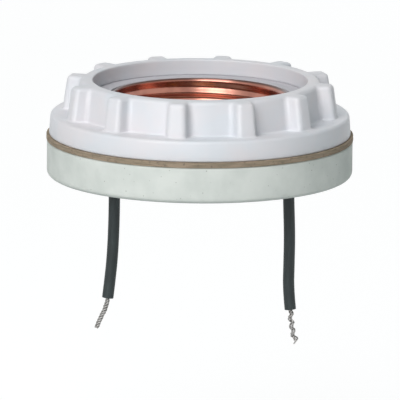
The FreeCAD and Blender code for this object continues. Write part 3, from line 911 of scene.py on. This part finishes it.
@dataclass
class NeckThread:
    """The coarse right-hand thread that the ring screws down on."""

    root_radius: float = 24.55
    height: float = 0.85
    root_width: float = 2.2
    crest_width: float = 0.9
    pitch: float = 3.2
    start: float = 2.7
    turns: float = 1.9
    end_turns: float = 0.04

    def stand(self, angle: float, height: float, first: float, last: float, wider: float = 0.0) -> float:
        """How far the thread stands out from the neck at one place.

        Args:
            angle: the place's angle in degrees.
            height: its height in millimetres.
            first: the turn on which the thread starts, counted from the start's height.
            last: the turn on which it ends.
            wider: how much wider than the thread the reading is, for the space it runs in.

        Returns:
            The stand in millimetres.
        """
        part = (angle % 360) / 360
        turn = round((height - self.start) / self.pitch - part) + part
        if not first <= turn <= last:
            return 0.0
        away = abs(height - self.start - turn * self.pitch)
        root, crest = self.root_width / 2 + wider, self.crest_width / 2 + wider
        share = min(1.0, max(0.0, (root - away) / (root - crest)))
        ends = min(1.0, (turn - first) / self.end_turns, (last - turn) / self.end_turns)
        return (self.height + wider) * share * max(0.0, ends)


@dataclass
class Base:
    """The unglazed base: a puck with a threaded neck, hollow for the shell and for the terminals behind."""

    radius: float = 35.0
    thickness: float = 8.35
    top_round: float = 0.45
    foot_round: float = 1.3
    neck_top: float = 10.2
    mouth_round: float = 0.1
    neck_round: float = 0.08
    neck_rows: int = 34
    collar_radius: float = 25.9
    collar_top: float = 1.1
    collar_round: float = 0.2
    collar_fillet: float = 0.15
    cavity_radius: float = 21.0
    cavity_floor: float = -2.55
    cavity_round: float = 0.5
    recess_radius: float = 27.0
    recess_ceiling: float = -4.95
    recess_chamfer: float = 0.3
    rim_round: float = 0.4
    steps: int = 180
    thread: NeckThread = field(default_factory=NeckThread)

    def profile(self) -> List[Spot]:
        """The section from the cavity's centre round the outside to the recess's centre."""
        root, foot, top = self.thread.root_radius, -self.thickness, self.neck_top
        inner, floor, soft = self.cavity_radius, self.cavity_floor, self.cavity_round
        points = [(0.0, floor), (inner - soft, floor)]
        points += arc((inner - soft, floor + soft), soft, -90, 0, 3)[1:]
        points += arc((inner + self.mouth_round, top - self.mouth_round), self.mouth_round, 180, 90)
        points += arc((root - self.neck_round, top - self.neck_round), self.neck_round, 90, 0, 2)
        fall = (top - self.neck_round - self.collar_top) / self.neck_rows
        points += [(root, top - self.neck_round - fall * row) for row in range(1, self.neck_rows + 1)]
        points += arc((self.collar_radius - self.collar_round, self.collar_top - self.collar_round),
                      self.collar_round, 90, 0, 2)
        points += [(self.collar_radius, self.collar_fillet), (self.collar_radius + self.collar_fillet, 0.0)]
        points += arc((self.radius - self.top_round, -self.top_round), self.top_round, 90, 0)
        side = self.thickness - self.top_round - self.foot_round
        points += [(self.radius, foot + self.foot_round + side * row / 6) for row in range(5, 0, -1)]
        points += arc((self.radius - self.foot_round, foot + self.foot_round), self.foot_round, 0, -90, 5)
        wall, ceiling, soft = self.recess_radius, self.recess_ceiling, self.rim_round
        points += arc((wall + soft, foot + soft), soft, -90, -180, 3)
        points += [(wall, ceiling + self.recess_chamfer), (wall - self.recess_chamfer, ceiling),
                   (0.0, ceiling)]
        return points

    def build(self, finishes: Finishes) -> None:
        """Turn the base and raise its thread.

        Args:
            finishes: the holder's materials.
        """
        base = lathe("base_fired", self.profile(), self.steps)
        push_out(base, self.thread.root_radius, self.collar_top + 0.1, self.neck_top - 0.4,
                 lambda angle, height: self.thread.stand(angle, height, 0.0, self.thread.turns))
        smooth(base, 50)
        finishes.give(base, "base", "unglazed_porcelain", "porcelain_base")


@dataclass
class Gasket:
    """The flat board ring under the clamp ring, its cut edge a little ragged."""

    radius: float = 35.15
    bore: float = 27.0
    thickness: float = 1.2
    edge_round: float = 0.18
    ragged: float = 0.05
    steps: int = 240
    seed: int = 5

    def build(self, finishes: Finishes) -> None:
        """Turn the ring with soft edges, and let its outer edge wander by a few hundredths of a millimetre.

        Args:
            finishes: the holder's materials.
        """
        soft, top = self.edge_round, self.thickness
        profile = arc((self.radius - soft, soft), soft, -90, 0, 3)
        profile += [(self.radius, top * share) for share in (0.33, 0.5, 0.67)]
        profile += arc((self.radius - soft, top - soft), soft, 0, 90, 3)
        profile += [(self.bore + soft, top), (self.bore, top - soft), (self.bore, soft),
                    (self.bore + soft, 0.0)]
        gasket = lathe("gasket_ring", profile, self.steps, closed=True)
        rng = random.Random(self.seed)
        waves = [(rng.randint(20, 90), rng.uniform(0, 2 * math.pi), rng.uniform(0, 6)) for _ in range(9)]

        def wander(angle: float, height: float) -> float:
            """How far the edge is moved at an angle in degrees and a height, in millimetres."""
            turn = math.radians(angle)
            rough = sum(math.sin(count * turn + phase + slope * height) for count, phase, slope in waves)
            return -self.ragged * (1.0 + rough / len(waves) * 2.0)

        push_out(gasket, self.radius, 0.1, top - 0.1, wander)
        smooth(gasket, 60)
        finishes.give(gasket, "gasket", "gasket_board", "gasket")


@dataclass
class ClampRing:
    """The glazed ring: a hub with twelve grip ribs on a flange, bored and threaded for the neck."""

    mouth: float = 24.6
    bore: float = 24.75
    hub_foot: float = 28.4
    hub_top: float = 27.4
    rib_foot: float = 31.8
    rib_top: float = 30.7
    rib_half: float = 2.35
    rib_top_half: float = 2.15
    rib_inner_half: float = 0.893
    rib_count: int = 12
    rib_turned: float = -100.0
    shoulder: float = 34.2
    edge: float = 34.55
    bottom: float = 1.2
    flange_top: float = 6.0
    lip: float = 10.23
    top: float = 13.8
    counterbore: float = 26.5
    counterbore_top: float = 2.1
    mouth_round: float = 0.35
    crown_round: float = 1.0
    flank_round: float = 1.1
    shoulder_round: float = 0.75
    edge_round: float = 0.42
    root_round: float = 0.4
    inner_round: float = 0.15
    sharp: float = 25.0
    steps: int = 12
    thread_rows: int = 32
    thread_space: float = 0.2
    thread: NeckThread = field(default_factory=NeckThread)

    def build(self, finishes: Finishes) -> None:
        """Model one rib's sector, copy it round, close the ring and soften its edges.

        Args:
            finishes: the holder's materials.
        """
        ring = self.sector()
        self.raise_rib(ring)
        self.copy_round(ring)
        self.add_flange(ring)
        self.soften(ring)
        self.add_bore(ring)
        smooth(ring, 60)
        finishes.give(ring, "ring", "glazed_porcelain", "clamp_ring")

    def sector(self) -> Obj:
        """A flat twelfth of the ring's top, about +X.

        Returns:
            The sector's object.
        """
        radii = (self.mouth, self.hub_foot, self.rib_foot, self.shoulder)
        ring = lone_point("clamp_ring_glazed", (self.mouth, 0, self.flange_top))
        with editing(ring):
            bpy.ops.mesh.select_all(action="SELECT")
            run_out([(radius, self.flange_top) for radius in radii])
            spin(self.steps, 360 / self.rib_count)
            weld(0.002)
        angles = [polar(vertex)[1] for vertex in ring.data.vertices]
        ring.rotation_euler.z = -math.radians((min(angles) + max(angles)) / 2)
        settle(ring)
        return ring

    def raise_rib(self, ring: Obj) -> None:
        """Raise the hub and the rib from the sector, and give them their draft.

        Args:
            ring: the sector's object.
        """
        part = 360 / self.rib_count
        step = part / self.steps
        with editing(ring):
            select_where(ring, "FACE", lambda face: self.is_raised(face, step))
            extrude((0, 0, self.top - self.flange_top))
            select_where(ring, "FACE", lambda face: all(
                abs(abs(polar(vertex)[1]) - part / 2) < 0.01 for vertex in face.verts))
            bpy.ops.mesh.delete(type="FACE")
            select_where(ring, "FACE", lambda face: all(
                abs(polar(vertex)[0] - self.mouth) < 0.01 for vertex in face.verts))
            bpy.ops.mesh.delete(type="FACE")
            face_out()
        for vertex in ring.data.vertices:
            radius, angle, height = polar(vertex)
            high = height > self.flange_top + 1
            if abs(radius - self.hub_foot) < 0.01:
                radius = self.hub_top if high else self.hub_foot
            elif abs(radius - self.rib_foot) < 0.01:
                radius = self.rib_top if high else self.rib_foot
            else:
                continue
            half, inner = self.rib_top_half if high else self.rib_half, self.rib_inner_half
            across = {-2: -half, -1: -inner, 0: 0.0, 1: inner, 2: half}.get(round(angle / step))
            if across is None:
                turn = math.radians(angle)
                vertex.co.x, vertex.co.y = radius * math.cos(turn) * MM, radius * math.sin(turn) * MM
            else:
                vertex.co.x, vertex.co.y = math.sqrt(radius ** 2 - across ** 2) * MM, across * MM

    def is_raised(self, face: Any, step: float) -> bool:
        """Whether a face of the flat sector belongs to the hub or the rib."""
        spots = [polar(vertex) for vertex in face.verts]
        outermost = max(spot[0] for spot in spots)
        widest = max(abs(spot[1]) for spot in spots)
        in_rib = outermost < self.rib_foot + 0.01 and widest < 2 * step + 0.1
        return in_rib or outermost < self.hub_foot + 0.01

    def copy_round(self, ring: Obj) -> None:
        """Copy the sector all the way round, join the copies and turn the ring to its place."""
        with editing(ring):
            spin(self.rib_count, 360, copies=True)
            weld(0.01)
            face_out()
        ring.rotation_euler.z = math.radians(self.rib_turned)
        settle(ring)

    def run_loop(self, ring: Obj, start: Spot, stops: Sequence[Spot]) -> None:
        """Extrude one round loop of edges through the points of a profile.

        Args:
            ring: the object, in edit mode.
            start: the loop's radius and height in millimetres.
            stops: the radius and height of each stop.
        """
        select_where(ring, "VERT", lambda vertex: abs(polar(vertex)[0] - start[0]) < 0.01
                     and abs(polar(vertex)[2] - start[1]) < 0.01)
        for before, after in zip([start, *stops], stops):
            factor = after[0] / before[0]
            extrude((0, 0, after[1] - before[1]))
            bpy.ops.transform.resize(value=(factor, factor, 1), orient_type="GLOBAL",
                                     center_override=(0, 0, 0))

    def add_flange(self, ring: Obj) -> None:
        """Run the flange down, under and into the counterbore, and the mouth down to the lip's underside."""
        with editing(ring):
            self.run_loop(ring, (self.shoulder, self.flange_top), [
                (self.edge, self.bottom), (self.counterbore, self.bottom),
                (self.counterbore, self.counterbore_top), (self.bore, self.counterbore_top)])
            self.run_loop(ring, (self.mouth, self.top), [(self.mouth, self.lip), (self.bore, self.lip)])

    def edge_rounding(self, edge: Any) -> float:
        """How far an edge is rounded, in millimetres."""
        first, last = (polar(vertex) for vertex in edge.verts)
        low, high = min(first[2], last[2]), max(first[2], last[2])
        narrow, wide = min(first[0], last[0]), max(first[0], last[0])
        if len(edge.link_faces) < 2 or edge.calc_face_angle(0) < math.radians(self.sharp):
            return 0.0
        if low > self.top - 0.01:
            return self.mouth_round if wide < self.mouth + 0.01 else self.crown_round
        if high - low > 5:
            return self.flank_round
        if narrow > self.shoulder - 0.01:
            return self.shoulder_round if low > self.bottom + 1 else self.edge_round
        return self.root_round if abs(low - self.flange_top) < 0.01 else self.inner_round

    def soften(self, ring: Obj) -> None:
        """Round every edge by its own amount."""
        layer = "bevel_weight_edge"
        with editing(ring):
            face_out()
            mesh = bmesh.from_edit_mesh(ring.data)
            weight = mesh.edges.layers.float.get(layer) or mesh.edges.layers.float.new(layer)
            for edge in mesh.edges:
                edge[weight] = self.edge_rounding(edge) / self.flank_round
            bmesh.update_edit_mesh(ring.data)
        add_modifier(ring, "BEVEL", width=self.flank_round * MM, segments=4, limit_method="WEIGHT",
                     offset_type="OFFSET", use_clamp_overlap=False, miter_outer="MITER_SHARP")
        apply_all(ring)

    def add_bore(self, ring: Obj) -> None:
        """Close the bore between the lip and the counterbore, and cut the thread's space in it."""
        fall = (self.lip - self.counterbore_top) / self.thread_rows
        with editing(ring):
            self.run_loop(ring, (self.bore, self.lip),
                          [(self.bore, self.lip - fall * row) for row in range(1, self.thread_rows + 1)])
            weld(0.004)
            face_out()
        push_out(ring, self.bore, self.counterbore_top + 0.1, self.lip - 0.1, lambda angle, height:
                 self.thread.stand(angle, height, -1.0, self.thread.turns + 0.1, self.thread_space))


# ---------------------------------------------------------------- contact, screws and compound


@dataclass
class ContactStrip:
    """The rolled bronze strip: a foot under its screw, a bend, and a raised tip that holds the button."""

    width: float = 7.0
    thickness: float = 0.5
    floor: float = -2.55
    foot_end: float = 12.0
    bend: float = 4.8
    tip_start: float = 1.8
    tip_end: float = -3.6
    lift: float = 3.0
    corner_round: float = 1.2
    bend_round: float = 0.5

    def build(self, finishes: Finishes) -> None:
        """Run the strip's line out, give it its width and thickness, and soften its bends and corners.

        Args:
            finishes: the holder's materials.
        """
        low = self.floor + self.thickness / 2
        high = low + self.lift
        strip = lone_point("contact_strip", (self.foot_end, -self.width / 2, low))
        with editing(strip):
            bpy.ops.mesh.select_all(action="SELECT")
            run_out([(self.foot_end, low), (self.bend, low), (self.tip_start, high), (self.tip_end, high)])
            bpy.ops.mesh.select_all(action="SELECT")
            extrude((0, self.width, 0))
            select_where(strip, "VERT", lambda vertex: any(
                abs(vertex.co.x / MM - end) < 0.01 for end in (self.foot_end, self.tip_end)))
            bpy.ops.mesh.bevel(offset=self.corner_round * MM, segments=5, affect="VERTICES")
            select_where(strip, "EDGE", lambda edge: len(edge.link_faces) == 2)
            bpy.ops.mesh.bevel(offset=self.bend_round * MM, segments=4, affect="EDGES")
        add_modifier(strip, "SOLIDIFY", thickness=self.thickness * MM, offset=0.0, use_even_offset=True)
        ease_edges(strip, 0.07, 50)
        apply_all(strip)
        smooth(strip, 40)
        finishes.give(strip, "base", "phosphor_bronze", "centre_contact", rides=False)
        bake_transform(strip)


@dataclass
class ContactButton:
    """The turned button in the strip's tip: a shank, a flat shoulder and a domed face."""

    radius: float = 2.3
    rise: float = 0.9
    dome: float = 4.2
    dome_radius: float = 1.8
    shank_radius: float = 0.9
    foot: float = 0.45
    clearance: float = 0.04
    chamfer: float = 0.12
    strip_thickness: float = 0.5
    steps: int = 64

    def build(self, finishes: Finishes) -> None:
        """Turn the button.

        Args:
            finishes: the holder's materials.
        """
        shank, face = self.shank_radius, self.foot + self.strip_thickness + self.clearance
        profile = [(0.0, self.foot), (shank - 0.1, self.foot), (shank, self.foot + 0.1), (shank, face),
                   (self.radius - self.chamfer, face), (self.radius, face + self.chamfer),
                   (self.radius, face + 0.3)]
        profile += arc((0.0, face + self.rise - self.dome), self.dome,
                       math.degrees(math.acos(self.dome_radius / self.dome)), 90, 8)
        button = lathe("contact_button_turned", profile, self.steps)
        smooth(button, 40)
        finishes.give(button, "contact", "nickel_silver", "contact_button")


@dataclass
class Screws:
    """The slotted pan-head screws in the cavity, one made and the others copied from it."""

    radius: float = 1.4
    head_radius: float = 2.5
    head_top_radius: float = 1.75
    head_side: float = 0.9
    head_height: float = 1.5
    length: float = 8.0
    tip_chamfer: float = 0.2
    slot_width: float = 0.6
    slot_depth: float = 0.8
    edge_round: float = 0.12
    steps: int = 48

    def build(self, finishes: Finishes, slots: Dict[str, float]) -> None:
        """Turn and slot one screw, and set a copy over each screw of the frame.

        Args:
            finishes: the holder's materials.
            slots: for each node, its slot's angle in degrees.
        """
        first = self.turned_screw()
        for name, angle in slots.items():
            low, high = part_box(name)
            activate(first)
            bpy.ops.object.duplicate(linked=False)
            screw = rename(bpy.context.object, f"{name}_slotted")
            screw.rotation_euler.z = math.radians(angle)
            screw.location = ((low[0] + high[0]) / 2, (low[1] + high[1]) / 2, high[2] - self.head_height * MM)
            foot = low[2] - screw.location[2]
            for vertex in screw.data.vertices:
                if vertex.co.z < -0.5 * self.length * MM:
                    vertex.co.z += foot + self.length * MM
            settle(screw)
            smooth(screw, 35)
            finishes.give(screw, "base", "brass", name)
        bpy.data.objects.remove(first)

    def turned_screw(self) -> Obj:
        """One screw with its seat at the origin and its slot along X."""
        soft, foot, top, tip = self.edge_round, -self.length, self.head_height, self.tip_chamfer
        shank, wide, narrow = self.radius, self.head_radius, self.head_top_radius
        profile = [(0.0, foot), (shank - tip, foot), (shank, foot + tip), (shank, 0.0), (wide - soft, 0.0),
                   (wide, soft), (wide, self.head_side - soft), (wide - 0.07, self.head_side + 0.05),
                   (narrow + 0.35, top - 0.16), (narrow, top - 0.02), (narrow - 0.4, top), (0.0, top)]
        screw = lathe("screw_turned", profile, self.steps)
        deselect_all()
        bpy.ops.mesh.primitive_cube_add(size=1.0, location=(0, 0, top * MM))
        cutter = rename(bpy.context.object, "slot_cutter")
        cutter.scale = (3 * wide * MM, self.slot_width * MM, 2 * self.slot_depth * MM)
        settle(cutter)
        add_modifier(screw, "BOOLEAN", operation="DIFFERENCE", object=cutter, solver="EXACT")
        apply_all(screw)
        bpy.data.objects.remove(cutter)
        ease_edges(screw, 0.05, 60)
        apply_all(screw)
        return screw


@dataclass
class Compound:
    """The poured compound in the back recess, climbing a little up the recess's wall and round the leads."""

    radius: float = 27.0
    surface: float = -7.35
    top: float = -4.95
    climb: float = 0.45
    climb_reach: float = 0.56
    lead_radius: float = 1.3
    lead_climb: float = 0.36
    lead_reach: float = 2.6 / 3
    sag: float = 0.12
    steps: int = 144
    rows: int = 46

    def build(self, finishes: Finishes, leads: Sequence[Spot]) -> None:
        """Turn the fill and let its free surface rise against what it touches.

        Args:
            finishes: the holder's materials.
            leads: where each lead leaves the surface, x and y in millimetres.
        """
        profile = [(0.0, self.top), (self.radius, self.top)]
        profile += [(self.radius * row / self.rows, self.surface) for row in range(self.rows, -1, -1)]
        fill = lathe("compound_fill", profile, self.steps)
        for vertex in fill.data.vertices:
            across, along, height = (value / MM for value in vertex.co)
            if height > self.surface + 0.01:
                continue
            rim = self.radius - math.hypot(across, along)
            lead = min(math.hypot(across - x, along - y) for x, y in leads) - self.lead_radius
            rise = self.climb * math.exp(-max(0.0, rim) / self.climb_reach)
            rise += self.lead_climb * math.exp(-max(0.0, lead) / self.lead_reach)
            wave = math.sin(0.31 * across + 0.17 * along) + math.sin(0.23 * along - 0.4 * across)
            vertex.co.z -= (rise - self.sag * (0.5 + 0.25 * wave)) * MM
        smooth(fill, 50)
        finishes.give(fill, "base", "sealing_compound", "sealing_compound")


# ---------------------------------------------------------------- studio


@dataclass(frozen=True)
class Lamp:
    """One square soft lamp that points at the origin: its place and width in metres, its power in watts."""

    name: str
    place: Point
    width: float
    power: float
    mirrored: bool


LAMPS = (
    Lamp("key", (-0.50, -1.27, 0.78), 1.2, 18.9, True),
    Lamp("top", (-0.30, -0.50, 1.30), 0.8, 6.5, True),
    Lamp("back", (0.35, 1.40, 0.25), 0.8, 7.0, False),
    Lamp("side", (1.35, 0.05, 0.25), 0.8, 0.8, False),
)


@dataclass
class Studio:
    """A pale floor, soft light from the upper left and front, and a long lens from straight ahead."""

    elevation: float = 11.4
    roll: float = 0.45
    lens: float = 1000.0
    sensor: float = 36.0
    frame_width: float = 91.6
    aim_across: float = 0.16
    aim_up: float = -14.07
    floor_height: float = -0.085
    floor_radius: float = 2.2
    floor_glow: float = 0.85
    light_strength: float = 0.13

    def build(self) -> None:
        """Add the camera, the lamps, the world and the floor."""
        bpy.context.scene.view_settings.view_transform = "Standard"
        self.add_camera()
        for lamp in LAMPS:
            self.add_lamp(lamp)
        self.add_world()
        self.add_floor()

    def add_camera(self) -> None:
        """Look along +Y and a little down, with the frame as wide as it says."""
        data = bpy.data.cameras.new("camera")
        data.lens = self.lens
        data.sensor_width = self.sensor
        camera = add_object("camera", data)
        tilt = math.radians(self.elevation)
        back = Vector((0, -math.cos(tilt), math.sin(tilt)))
        up = Vector((0, math.sin(tilt), math.cos(tilt)))
        right = Vector((1, 0, 0))
        distance = self.frame_width * MM / self.sensor * self.lens
        target = right * self.aim_across * MM + up * self.aim_up * MM
        turn = Matrix((right, up, back)).transposed() @ Matrix.Rotation(math.radians(self.roll), 3, "Z")
        camera.matrix_world = Matrix.Translation(target + back * distance) @ turn.to_4x4()
        data.clip_start, data.clip_end = 0.1, distance * 3
        bpy.context.scene.camera = camera

    def add_lamp(self, lamp: Lamp) -> None:
        """Add one lamp, seen in reflections or not."""
        data = bpy.data.lights.new(lamp.name, "AREA")
        data.shape = "SQUARE"
        data.size = lamp.width
        data.energy = lamp.power
        obj = add_object(lamp.name, data)
        obj.location = lamp.place
        obj.visible_glossy = lamp.mirrored
        obj.rotation_mode = "QUATERNION"
        obj.rotation_quaternion = Vector(lamp.place).to_track_quat("Z", "Y")

    def is_seen(self, tree: Tree) -> Socket:
        """One where a ray comes from the camera, a reflection or a transmission."""
        path = add_node(tree, "ShaderNodeLightPath")
        first = add_node(tree, "ShaderNodeMath", {
            0: path.outputs["Is Camera Ray"], 1: path.outputs["Is Glossy Ray"]}, operation="MAXIMUM")
        return add_node(tree, "ShaderNodeMath", {
            0: first.outputs[0], 1: path.outputs["Is Transmission Ray"]}, operation="MAXIMUM").outputs[0]

    def chosen(self, tree: Tree, share: Socket, first: Node,
               second: Node) -> Node:
        """Mix two shaders: the first where the share is 0, the second where it is 1."""
        return add_node(tree, "ShaderNodeMixShader", {0: share, 1: first.outputs[0], 2: second.outputs[0]})

    def add_world(self) -> None:
        """White to the camera and in reflections, and a plain soft light on everything else."""
        world = bpy.data.worlds.new("studio")
        bpy.context.scene.world = world
        tree = empty_tree(world)
        seen = add_node(tree, "ShaderNodeBackground", {"Color": linear("ffffff"), "Strength": 1.0})
        light = add_node(tree, "ShaderNodeBackground", {
            "Color": linear("d8fbff"), "Strength": self.light_strength})
        mixed = self.chosen(tree, self.is_seen(tree), light, seen)
        add_node(tree, "ShaderNodeOutputWorld", {"Surface": mixed.outputs[0]})

    def add_floor(self) -> None:
        """A wide pale floor below the leads, white but for the holder's shadow, and clear from beneath."""
        deselect_all()
        bpy.ops.mesh.primitive_circle_add(vertices=96, radius=self.floor_radius, fill_type="NGON",
                                          location=(0, 0, self.floor_height))
        floor = rename(bpy.context.object, "floor")
        settle(floor)
        material = bpy.data.materials.new("pale_floor_paper")
        tree = empty_tree(material)
        paper = add_node(tree, "ShaderNodeBsdfDiffuse", {"Color": linear("f6f6f6")})
        shaded = add_node(tree, "ShaderNodeBsdfDiffuse", {"Color": (0.22, 0.22, 0.22, 1.0)})
        glow = add_node(tree, "ShaderNodeEmission", {"Color": linear("ffffff"), "Strength": self.floor_glow})
        lit = add_node(tree, "ShaderNodeAddShader", {0: shaded.outputs[0], 1: glow.outputs[0]})
        above = self.chosen(tree, self.is_seen(tree), paper, lit)
        beneath = add_node(tree, "ShaderNodeNewGeometry").outputs["Backfacing"]
        whole = self.chosen(tree, beneath, above, add_node(tree, "ShaderNodeBsdfTransparent"))
        add_node(tree, "ShaderNodeOutputMaterial", {"Surface": whole.outputs[0]})
        floor.data.materials.append(material)


# ---------------------------------------------------------------- the holder

BASE_THICKNESS = 8.35


def hung(points: Sequence[Point]) -> List[Point]:
    """Points given in millimetres from the base's underside, in metres in the holder's frame."""
    return [(across * MM, along * MM, (height - BASE_THICKNESS) * MM) for across, along, height in points]


LEFT_ROUTE = hung([
    (-19.5, 0.0, 1.5), (-19.45, 0.1, -5.65), (-19.55, 0.25, -12.65), (-19.85, 0.2, -19.65),
    (-20.4, 0.0, -25.15), (-20.85, -0.1, -29.0)])
LEFT_BARE_ROUTE = hung([
    (-20.85, -0.1, -29.0), (-21.02, -0.14, -30.49), (-21.8, -0.2, -32.4), (-22.75, -0.15, -34.35),
    (-23.5, -0.2, -36.3)])
RIGHT_ROUTE = hung([
    (20.3, 0.0, 1.5), (20.5, 0.05, -6.15), (20.8, 0.2, -14.15), (20.7, 0.25, -21.15),
    (20.6, 0.1, -26.65), (21.1, -0.05, -31.4)])
RIGHT_BARE_ROUTE = hung([
    (21.1, -0.05, -31.4), (21.27, -0.1, -32.99), (21.42, 0.0, -35.35), (21.95, 0.1, -37.65),
    (22.4, 0.0, -39.65)])


def main() -> None:
    """Build the holder's visible pieces round its frame, in order."""
    logging.basicConfig(level=logging.INFO, format="%(name)s: %(message)s")
    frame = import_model()
    deselect_all()
    Studio().build()
    finishes = Finishes()
    slots = {row["node"]: row["material_slot"] for row in frame["record"]["subparts"]}
    for name, node in frame["nodes"].items():
        finishes.dress_node(node, slots[name])
    Lead("left", LEFT_ROUTE, LEFT_BARE_ROUTE, Twist.NEAT, 3, 30.57).build(finishes)
    Lead("right", RIGHT_ROUTE, RIGHT_BARE_ROUTE, Twist.LOOSE, 8, 32.93).build(finishes)
    Base().build(finishes)
    Gasket().build(finishes)
    ClampRing().build(finishes)
    ScrewShell().build(finishes)
    ContactStrip().build(finishes)
    ContactButton().build(finishes)
    Screws().build(finishes, {"contact_screw": 8.0, "neutral_screw": 62.0, "shell_screw": -24.0})
    Compound().build(finishes, [(route[0][0] / MM, 0.0) for route in (LEFT_ROUTE, RIGHT_ROUTE)])


if __name__ == "__main__":
    main()
